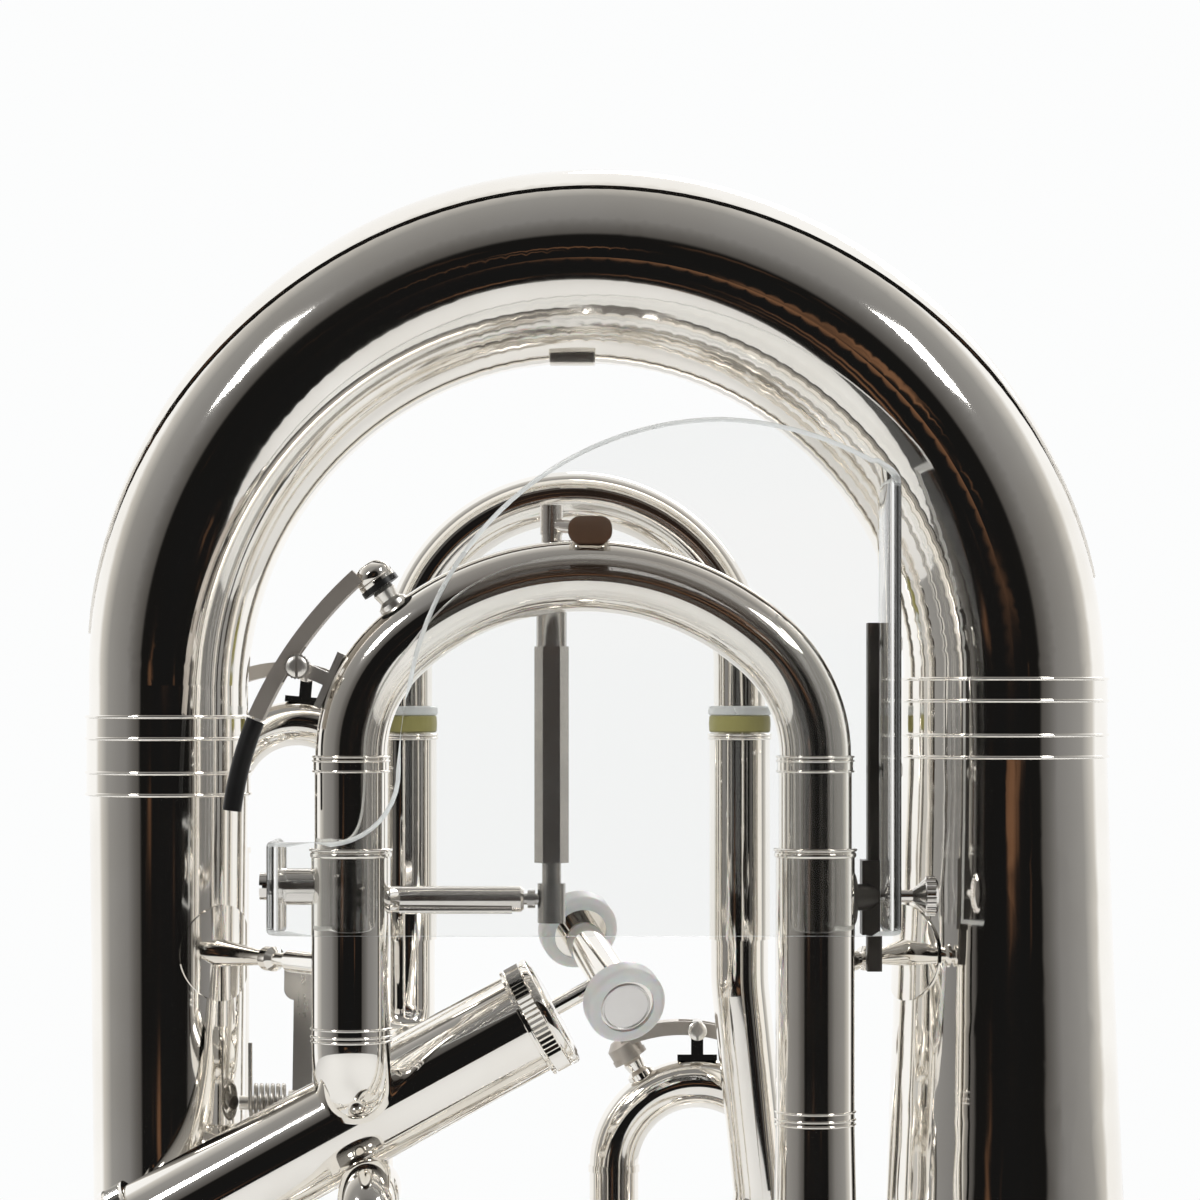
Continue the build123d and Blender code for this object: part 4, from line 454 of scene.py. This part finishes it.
acrylic = clear_plastic("clear acrylic", (0.985, 0.99, 0.985, 1), 0.0, 0.03)
edge_frost = finish_of(
    "acrylic edge", (0.96, 0.98, 0.975, 1), (0.92, 0.95, 0.94, 1), 0.2, 0.4, metallic=0.0,
    Transmission_Weight=0.45, IOR=ACRYLIC_IOR,
)
ring_low, ring_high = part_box("fourth_slide_bumpers")
felts = bmesh.new()
clears = bmesh.new()
ring_y = (ring_low[1] + ring_high[1]) / 2
for ring_x in (ring_low[0] + RING_REACH, ring_high[0] - RING_REACH):
    base = ring_low[2]
    top = base + FELT_HEIGHT
    swell = [(TUBE_RADIUS, top), (TUBE_RADIUS, base), (FELT_TOP, base), (FELT_SIDE, base + FELT_CORNER),
             (FELT_WAIST, base + FELT_HEIGHT / 2), (FELT_SIDE, top - FELT_CORNER), (FELT_TOP, top)]
    turned(felts, swell, (ring_x, ring_y, 0), steps=72)
    low = ring_high[2] - CLEAR_HEIGHT
    high = ring_high[2]
    rounded = [(TUBE_RADIUS, high), (TUBE_RADIUS, low), (RING_SHOULDER, low), (RING_REACH, low + RING_CORNER),
               (RING_REACH, high - RING_CORNER), (RING_SHOULDER, high)]
    turned(clears, rounded, (ring_x, ring_y, 0), steps=72)
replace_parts(solid("bumper_felts", felts, felt, "fourth_slide"), "fourth_slide_bumpers")
solid("bumper_rings", clears, edge_frost, "fourth_slide")

# ---- Small slides and their water keys ----
# The first, second and third valves' slides, each a U of small tube in soldered sleeves.
# The first and third have a water key of the same make as the main one, without the rubber sleeve.
SMALL_RISE = 0.0009
PIN_REACH = 0.0078
coat(silver, "first_slide", "second_slide", "third_slide")
coat(silver, "first_branches", "second_branches", "third_branches")
coat(satin, "first_key", "third_key")
for key, body in (("first", "first_slide"), ("third", "third_slide")):
    small_pivot = bmesh.new()
    hinge = Vector(joint_named(key + "_key_press")["pos_m"])
    head_seat = (hinge.x, hinge.y - PIN_REACH, hinge.z)
    slotted_head(small_pivot, PIVOT_HEAD, SMALL_RISE, SLOT_WIDTH, head_seat, (0, -1, 0))
    solid(key + "_pivot_screw", small_pivot, cast_silver, body)

# ---- Valves ----
# Four top-sprung piston valves in plated brass casings, three upright and one slanting.
# Turned caps with knurled rims close them, and the finger buttons carry pearl discs on felt.
KNURL_TEETH = 64
PEARL_COLOUR = (0.86, 0.85, 0.81, 1)
PEARL_SHADE = (0.74, 0.77, 0.76, 1)
pearl = finish_of("pearl", PEARL_COLOUR, PEARL_SHADE, 0.1, 0.22, metallic=0.0, Coat_Weight=0.6)
steel = finish_of("spring steel", (0.56, 0.54, 0.51, 1), (0.4, 0.37, 0.33, 1), 0.2, 0.34)
coat(silver, "first_casing", "second_casing", "third_casing", "fourth_casing")
coat(silver, "first_piston", "second_piston", "third_piston", "fourth_piston")
coat(steel, "first_valve_spring", "second_valve_spring", "third_valve_spring", "fourth_valve_spring")
KNURL_DEPTH = 0.0007
CAP_GROOVE = 0.0009
CAP_RADIUS = 0.0202
CAP_SKIRT = 0.0075
CAP_TOP = 0.0035
CAP_BORE = 0.01827
STEM_HOLE = 0.00305
VENT_HOLE = 0.002
SPOOL_HOLE = 0.003


def knurled_cap(mesh, origin, direction, hole):
    """Adds a valve cap at origin, its top facing direction: two rims, a knurled band and a turned face."""
    skirt = -CAP_SKIRT
    rim = CAP_RADIUS
    neck = rim - CAP_GROOVE
    band = rim - 0.0002
    bottom = CAP_TOP
    lower_rim = [(CAP_BORE, -0.0001, 0), (CAP_BORE, skirt, 0), (rim - 0.0007, skirt, 0),
                 (rim, skirt + 0.0003, 0), (rim, skirt + 0.0011, 0), (neck, skirt + 0.0013, 0)]
    knurled = [(neck, skirt + 0.0016, 0), (band, skirt + 0.0019, KNURL_DEPTH),
               (band, bottom - 0.0040, KNURL_DEPTH), (neck, bottom - 0.0037, 0)]
    upper_rim = [(neck, bottom - 0.0034, 0), (rim, bottom - 0.0031, 0), (rim, bottom - 0.0014, 0),
                 (rim - 0.0004, bottom - 0.0009, 0), (rim - 0.0014, bottom - 0.0005, 0)]
    top_face = [(rim - 0.0030, bottom - 0.0004, 0), (rim - 0.0036, bottom, 0), (hole + 0.0012, bottom, 0),
                (hole, bottom - 0.0004, 0), (hole, -0.0001, 0), (CAP_BORE, -0.0001, 0)]
    toothed(mesh, lower_rim + knurled + upper_rim + top_face, KNURL_TEETH, origin, direction)
    bmesh.ops.remove_doubles(mesh, verts=mesh.verts, dist=1e-7)


lower_caps = bmesh.new()
upper_caps = bmesh.new()
for name in ("first", "second", "third"):
    low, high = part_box(name + "_casing")
    centre = axis_middle(name + "_casing")
    knurled_cap(lower_caps, (centre.x, centre.y, high[2]), (0, 0, 1), VENT_HOLE)
    knurled_cap(upper_caps, (centre.x, centre.y, low[2]), (0, 0, -1), STEM_HOLE)
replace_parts(solid("knurled_bottom_caps", lower_caps, silver), "bottom_caps")
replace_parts(solid("knurled_top_caps", upper_caps, silver), "top_caps")
slant = Vector(joint_named("fourth_valve_press")["axis"]).normalized()
cap_middle = axis_middle("fourth_bottom_cap")
CAP_CENTRE_OFFSET = (CAP_TOP - CAP_SKIRT) / 2
slant_low = bmesh.new()
knurled_cap(slant_low, cap_middle - slant * CAP_CENTRE_OFFSET, slant, SPOOL_HOLE)
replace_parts(solid("knurled_fourth_cap", slant_low, silver), "fourth_bottom_cap")
slant_high = bmesh.new()
top_middle = axis_middle("fourth_top_cap")
knurled_cap(slant_high, top_middle + slant * CAP_CENTRE_OFFSET, -slant, STEM_HOLE)
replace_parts(solid("knurled_fourth_top_cap", slant_high, silver), "fourth_top_cap")

PEARL_RADIUS = 0.0082
PEARL_RISE = 0.0005
BUTTON_REACH = 0.0005
PISTON_LENGTH = 0.149
for name in ("first", "second", "third", "fourth"):
    axis = slant if name == "fourth" else Vector((0, 0, 1))
    middle = axis_middle(name + "_piston")
    button_face = middle - axis * (PISTON_LENGTH / 2 - BUTTON_REACH)
    disc = bmesh.new()
    dome = [(0, 0), (PEARL_RADIUS, 0), (PEARL_RADIUS, PEARL_RISE * 0.6),
            (PEARL_RADIUS * 0.92, PEARL_RISE * 0.9), (0, PEARL_RISE)]
    turned(disc, dome, button_face, -axis, steps=64)
    solid(name + "_pearl", disc, pearl, name + "_piston")

# ---- Tubes between the valves, leadpipe and receiver ----
# Knuckles join the casings, a link tube runs round to the fourth valve, and the leadpipe brings
# the wind from the turned mouthpiece receiver. Drawn brass tube, silver soldered and plated.
coat(silver, "link_tubes", "leadpipe", "mouthpiece_receiver")

# ---- Telescopic rod ----
# A six-sided steel barrel with a round collar hangs beside the slide; its inner bar is carried by
# an oval block on the slide bow. An arm with a pivot pin and nut holds its foot to the left sleeve.
bright_satin = finish_of("satin steel", (0.62, 0.61, 0.59, 1), (0.50, 0.49, 0.47, 1), 0.2, 0.28, bump=0.06)
polished = finish_of("polished steel", (0.86, 0.835, 0.80, 1), (0.78, 0.75, 0.71, 1), 0.1, 0.18, bump=0.05)
coat(bright_satin, "rod_barrel")
coat(polished, "rod_arm", "rod_plunger")

# ---- Spool ----
# A plain spool on a stub that screws into the fourth valve's bottom cap, for the player's hand.
# Soft translucent white rings are pressed over its two flanges, and its front face is recessed.
soft_white = finish_of(
    "translucent nylon", (0.99, 0.99, 0.985, 1), (0.97, 0.975, 0.965, 1), 0.28, 0.42, metallic=0.0,
    Subsurface_Weight=0.4, Subsurface_Scale=0.004,
)
face_grey = finish_of("spool face", (0.86, 0.85, 0.84, 1), (0.74, 0.73, 0.72, 1), 0.4, 0.5, bump=0.1)
coat(silver, "spool")
coat(soft_white, "spool_rings")
SPOOL_OFFSET = 0.0268
SPOOL_AXIS = Vector((0.280, -0.883, -0.377)).normalized()
SPOOL_CENTRE = cap_middle + slant * SPOOL_OFFSET
SPOOL_FRONT = 0.0218
FACE_RADIUS = 0.0086
FACE_LIP = 0.0008
face = bmesh.new()
dish = [(0, 0.00005), (FACE_RADIUS, 0.00005), (FACE_RADIUS, FACE_LIP - 0.0001),
        (FACE_RADIUS - 0.0005, FACE_LIP), (FACE_RADIUS - 0.0009, 0.0003), (0, 0.0002)]
turned(face, dish, SPOOL_CENTRE + SPOOL_AXIS * SPOOL_FRONT, SPOOL_AXIS, steps=72)
solid("spool_face", face, face_grey)

# ---- Hand guard ----
# A bent sheet of clear acrylic across the slide, its edges sawn and flame polished. A dark bar
# carries its tall side, with two slotted screws and a knurled thumb screw; a boss holds the left side.
guard_low, guard_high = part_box("guard_sheet")
SHEET = 0.0035
BEND = 0.0045
BEND_STEPS = 12
TAB_Z = 0.6637
LEFT_DEPTH = 0.036
RIGHT_DEPTH = 0.054
EDGE_ROUND = 0.0015
# The top edge's corners: how far in from the left or right end, and how far above the left tab.
TAB_END = 0.016
SWEEP = ((0.0217, 0.0), (0.037, 0.007), (0.0435, 0.024), (0.045, 0.0355), (0.0465, 0.047))
SHOULDER = (0.0785, 0.1115)
CREST = (-0.0597, 0.141)
FALL = (-0.029, 0.1355)
RIGHT_RISE = 0.121
GUARD_SCREW_RADIUS = 0.0026
GUARD_SCREW_RISE = 0.0009
GUARD_SLOT = 0.0008
GUARD_SCREW_REACH = 0.0018
GUARD_SCREW_Z = (0.730, 0.687)


def arc_through(start, via, end, steps):
    """Points along the circle through three points in a plane."""
    (ax, az), (bx, bz), (cx, cz) = start, via, end
    cross = 2 * (ax * (bz - cz) + bx * (cz - az) + cx * (az - bz))
    a, b, c = ax * ax + az * az, bx * bx + bz * bz, cx * cx + cz * cz
    ux = (a * (bz - cz) + b * (cz - az) + c * (az - bz)) / cross
    uz = (a * (cx - bx) + b * (ax - cx) + c * (bx - ax)) / cross
    radius = math.hypot(ax - ux, az - uz)
    first = math.atan2(az - uz, ax - ux)
    last = math.atan2(cz - uz, cx - ux)
    middle = math.atan2(bz - uz, bx - ux)
    turn = (last - first + math.pi) % (2 * math.pi) - math.pi
    part = (middle - first + math.pi) % (2 * math.pi) - math.pi
    if turn * part < 0:
        turn -= math.copysign(2 * math.pi, turn)
    angles = [first + turn * step / steps for step in range(steps + 1)]
    return [(ux + radius * math.cos(angle), uz + radius * math.sin(angle)) for angle in angles]


def top_edge():
    """The guard's top edge from left to right, as x and z pairs."""
    left, right = guard_low[0], guard_high[0]
    start, turn, foot, flank, hip = [(left + inset, TAB_Z + rise) for inset, rise in SWEEP]
    shoulder = (left + SHOULDER[0], TAB_Z + SHOULDER[1])
    crest, fall, end = [(right + inset, TAB_Z + rise) for inset, rise in (CREST, FALL, (0, RIGHT_RISE))]
    line = [(left + SHEET + BEND, TAB_Z), (left + TAB_END, TAB_Z), start]
    line += arc_through(start, turn, foot, 10)[1:]
    line += [flank, hip]
    line += arc_through(hip, shoulder, crest, 28)[1:]
    line += arc_through(crest, fall, end, 16)[1:]
    return [point for point in line if point[0] < right - SHEET - BEND]


def guard_columns():
    """Outer point, inward direction and top height of each upright line of the bent sheet."""
    left, right = guard_low[0], guard_high[0]
    front = guard_low[1]
    outer_bend = SHEET + BEND
    columns = [(Vector((left, front + LEFT_DEPTH, 0)), Vector((1, 0, 0)), TAB_Z)]
    for step in range(BEND_STEPS + 1):
        angle = math.pi / 2 * step / BEND_STEPS
        corner = Vector((left + outer_bend, front + outer_bend, 0))
        inward = Vector((math.cos(angle), math.sin(angle), 0))
        columns.append((corner - inward * outer_bend, inward, TAB_Z))
    for x, z in top_edge()[1:]:
        columns.append((Vector((x, front, 0)), Vector((0, 1, 0)), z))
    before = top_edge()[-1][1]
    after = TAB_Z + RIGHT_RISE
    for step in range(BEND_STEPS + 1):
        angle = math.pi / 2 * step / BEND_STEPS
        corner = Vector((right - outer_bend, front + outer_bend, 0))
        inward = Vector((-math.sin(angle), math.cos(angle), 0))
        columns.append((corner - inward * outer_bend, inward, before + (after - before) * step / BEND_STEPS))
    columns.append((Vector((right, front + RIGHT_DEPTH, 0)), Vector((-1, 0, 0)), after))
    return columns


sheet = bmesh.new()
loops = []
for outer, inward, top in guard_columns():
    inner = outer + inward * SHEET
    ring = [Vector((outer.x, outer.y, guard_low[2])), Vector((outer.x, outer.y, top)),
            Vector((inner.x, inner.y, top)), Vector((inner.x, inner.y, guard_low[2]))]
    loops.append([sheet.verts.new(point) for point in ring])
for first, second in zip(loops, loops[1:]):
    for side in range(4):
        after = (side + 1) % 4
        face = sheet.faces.new([first[side], second[side], second[after], first[after]])
        face.material_index = side % 2
for end in (loops[0], loops[-1]):
    sheet.faces.new(end).material_index = 1
rims = [edge for edge in sheet.edges if sum(f.material_index for f in edge.link_faces) == 1]
bmesh.ops.bevel(sheet, geom=rims, offset=EDGE_ROUND, segments=3, profile=0.5, affect="EDGES", material=1)
guard = solid("hand_guard", sheet, acrylic, smooth=10)
guard.data.materials.append(edge_frost)
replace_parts(guard, "guard_sheet")

bar_dark = finish_of(
    "dark bar", (0.06, 0.054, 0.048, 1), (0.12, 0.11, 0.10, 1), 0.34, 0.48, metallic=0.8, bump=0.1,
)
coat(bar_dark, "guard_bar")
coat(polished, "thumb_screw", "guard_screws")
screw_heads = bmesh.new()
bar_middle = axis_middle("guard_bar")
for height in GUARD_SCREW_Z:
    head_seat = (guard_high[0] + GUARD_SCREW_REACH, bar_middle.y, height)
    slotted_head(screw_heads, GUARD_SCREW_RADIUS, GUARD_SCREW_RISE, GUARD_SLOT, head_seat, (1, 0, 0))
solid("guard_screw_heads", screw_heads, cast_silver)

# ---- Braces ----
# Turned and plated braces tie the two sleeves to the big leg and to the bell's stem,
# each soldered to a round foot plate.
coat(silver, "left_brace", "right_brace")

# ---- Trigger ----
# A thumb lever on an axle soldered to the big leg, returned by a coil of spring wire
# whose long leg reaches up behind the lever.
WIRE = 0.00075
COIL_RADIUS = 0.0063
COIL_TURNS = 6
TURN_STEPS = 32
LONG_LEG = 0.022
LEG_LEAN = 0.0004
coat(cast_silver, "trigger_axle", "trigger_lever")
spring_low, spring_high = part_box("trigger_spring")
coil_y = (spring_low[1] + spring_high[1]) / 2
coil_z = (spring_low[2] + spring_high[2]) / 2
coil = bpy.data.curves.new("torsion coil", "CURVE")
coil.dimensions = "3D"
coil.bevel_depth = WIRE
coil.bevel_resolution = 3
coil.use_fill_caps = True
strand = coil.splines.new("POLY")
run = spring_high[0] - spring_low[0] - 2 * WIRE
strand_points = []
for step in range(COIL_TURNS * TURN_STEPS + 1):
    angle = 2 * math.pi * step / TURN_STEPS + math.pi
    x = spring_low[0] + WIRE + run * step / (COIL_TURNS * TURN_STEPS)
    y = coil_y + COIL_RADIUS * math.cos(angle)
    z = coil_z + COIL_RADIUS * math.sin(angle)
    strand_points.append((x, y, z))
x, y, z = strand_points[0]
strand_points.insert(0, (x, y - LEG_LEAN, z + LONG_LEG))
strand.points.add(len(strand_points) - 1)
for point, place in zip(strand.points, strand_points):
    point.co = (*place, 1)
coil.materials.append(steel)
spring = bpy.data.objects.new("torsion_spring", coil)
bpy.context.scene.collection.objects.link(spring)
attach(spring, "body")
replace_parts(spring, "trigger_spring")

# ---- Floor, surroundings and light ----
# A pale floor under a bright studio: white behind and below, grey at the sides and dark towards
# the viewer, with two large soft boxes high on the left and right.
FLOOR_RADIUS = 2.4
FLOOR_PLACE = (-0.15, 0, -0.0005)
# Grey levels round the room: a share of the way from the viewer to the wall behind, and a colour.
DARK_TONE = (0.008, 0.008, 0.008, 1)
WHITE_TONE = (1.0, 1.0, 1.0, 1)
SIDE_TONES = (
    (0.085, (0.008, 0.0075, 0.007, 1)), (0.10, (0.085, 0.08, 0.075, 1)), (0.15, (0.13, 0.125, 0.12, 1)),
    (0.22, (0.21, 0.205, 0.20, 1)), (0.50, (0.30, 0.295, 0.285, 1)), (0.66, (0.62, 0.60, 0.565, 1)),
    (0.72, (0.97, 0.97, 0.965, 1)),
)
CREAM = (0.98, 0.92, 0.83, 1)
WALL = (0.975, 0.98, 0.98, 1)
WOOD = (0.17, 0.085, 0.045, 1)
# Name, place, size and watts of each light.
LIGHTS = (
    ("left soft box", (-2.1, -1.5, 2.5), (0.5, 0.6), 34), ("right soft box", (1.7, -1.4, 2.6), (0.5, 0.6), 30),
    ("back light", (0.6, 2.4, 2.2), (1.6, 1.0), 20),
)
AIM_POINT = Vector((-0.15, 0, 0.65))
EYE_PLACE = (-0.1454, -1.364, 0.711)
EYE_LENS = 113.7
EYE_SHIFT = 0.083
paper = finish_of("pale floor", (0.87, 0.87, 0.865, 1), (0.862, 0.862, 0.857, 1), 0.6, 0.75, metallic=0.0)
floor_mesh = bmesh.new()
bmesh.ops.create_circle(floor_mesh, cap_ends=True, segments=128, radius=FLOOR_RADIUS)
floor_data = bpy.data.meshes.new("floor")
floor_mesh.to_mesh(floor_data)
floor_mesh.free()
floor_data.materials.append(paper)
floor = bpy.data.objects.new("floor", floor_data)
floor.location = FLOOR_PLACE
bpy.context.scene.collection.objects.link(floor)

world = bpy.data.worlds.new("studio")
bpy.context.scene.world = world
world.use_nodes = True
sky = world.node_tree
sky.nodes.clear()
towards = node_of(sky, "ShaderNodeTexCoord")
split = node_of(sky, "ShaderNodeSeparateXYZ")
around = spanned(sky, -1, 1)
tones = node_of(sky, "ShaderNodeValToRGB")
stops = tones.color_ramp.elements
stops[0].color = DARK_TONE
stops[1].color = WHITE_TONE
for position, colour in SIDE_TONES:
    stop = stops.new(position)
    stop.color = colour
height = spanned(sky, -0.75, -0.3, 1, 0)
cream = node_of(sky, "ShaderNodeMix", data_type="RGBA")
cream.inputs["B"].default_value = CREAM
lit = node_of(sky, "ShaderNodeBackground")
plain = node_of(sky, "ShaderNodeBackground")
plain.inputs["Color"].default_value = WALL
seen = node_of(sky, "ShaderNodeLightPath")
straight = node_of(sky, "ShaderNodeMath", operation="LESS_THAN")
straight.inputs[1].default_value = 0.5
clear = node_of(sky, "ShaderNodeMath", operation="MULTIPLY")
through = node_of(sky, "ShaderNodeMath", operation="MAXIMUM")
choice = node_of(sky, "ShaderNodeMixShader")
glints = node_of(sky, "ShaderNodeMapping")
glints.inputs["Scale"].default_value = (1.0, 1.0, 4.5)
streaks = noise(sky, 3.2, 3)
few = spanned(sky, 0.60, 0.68)
ahead = spanned(sky, 0.085, 0.03)
both = node_of(sky, "ShaderNodeMath", operation="MULTIPLY")
wood = node_of(sky, "ShaderNodeMix", data_type="RGBA")
wood.inputs["B"].default_value = WOOD
out = node_of(sky, "ShaderNodeOutputWorld")
join = sky.links.new
join(towards.outputs["Generated"], split.inputs["Vector"])
join(split.outputs["Y"], around.inputs["Value"])
join(split.outputs["Z"], height.inputs["Value"])
join(around.outputs["Result"], tones.inputs["Fac"])
join(towards.outputs["Generated"], glints.inputs["Vector"])
join(glints.outputs["Vector"], streaks.inputs["Vector"])
join(streaks.outputs["Fac"], few.inputs["Value"])
join(around.outputs["Result"], ahead.inputs["Value"])
join(few.outputs["Result"], both.inputs[0])
join(ahead.outputs["Result"], both.inputs[1])
join(both.outputs[0], wood.inputs["Factor"])
join(tones.outputs["Color"], wood.inputs["A"])
join(wood.outputs["Result"], cream.inputs["A"])
join(height.outputs["Result"], cream.inputs["Factor"])
join(cream.outputs["Result"], lit.inputs["Color"])
join(seen.outputs["Is Camera Ray"], through.inputs[0])
join(seen.outputs["Glossy Depth"], straight.inputs[0])
join(seen.outputs["Is Transmission Ray"], clear.inputs[0])
join(straight.outputs[0], clear.inputs[1])
join(clear.outputs[0], through.inputs[1])
join(through.outputs[0], choice.inputs["Fac"])
join(lit.outputs["Background"], choice.inputs[1])
join(plain.outputs["Background"], choice.inputs[2])
join(choice.outputs["Shader"], out.inputs["Surface"])

for name, place, size, power in LIGHTS:
    lamp = bpy.data.lights.new(name, "AREA")
    lamp.shape = "RECTANGLE"
    lamp.size, lamp.size_y = size
    lamp.energy = power
    source = bpy.data.objects.new(name, lamp)
    source.location = place
    source.rotation_euler = (AIM_POINT - Vector(place)).to_track_quat("-Z", "Y").to_euler()
    bpy.context.scene.collection.objects.link(source)

bpy.context.scene.view_settings.view_transform = "Standard"
eye = bpy.data.cameras.new("camera")
eye.sensor_width = 36
eye.lens = EYE_LENS
eye.shift_y = EYE_SHIFT
camera = bpy.data.objects.new("camera", eye)
camera.location = EYE_PLACE
camera.rotation_euler = (math.pi / 2, 0, 0)
bpy.context.scene.collection.objects.link(camera)
bpy.context.scene.camera = camera
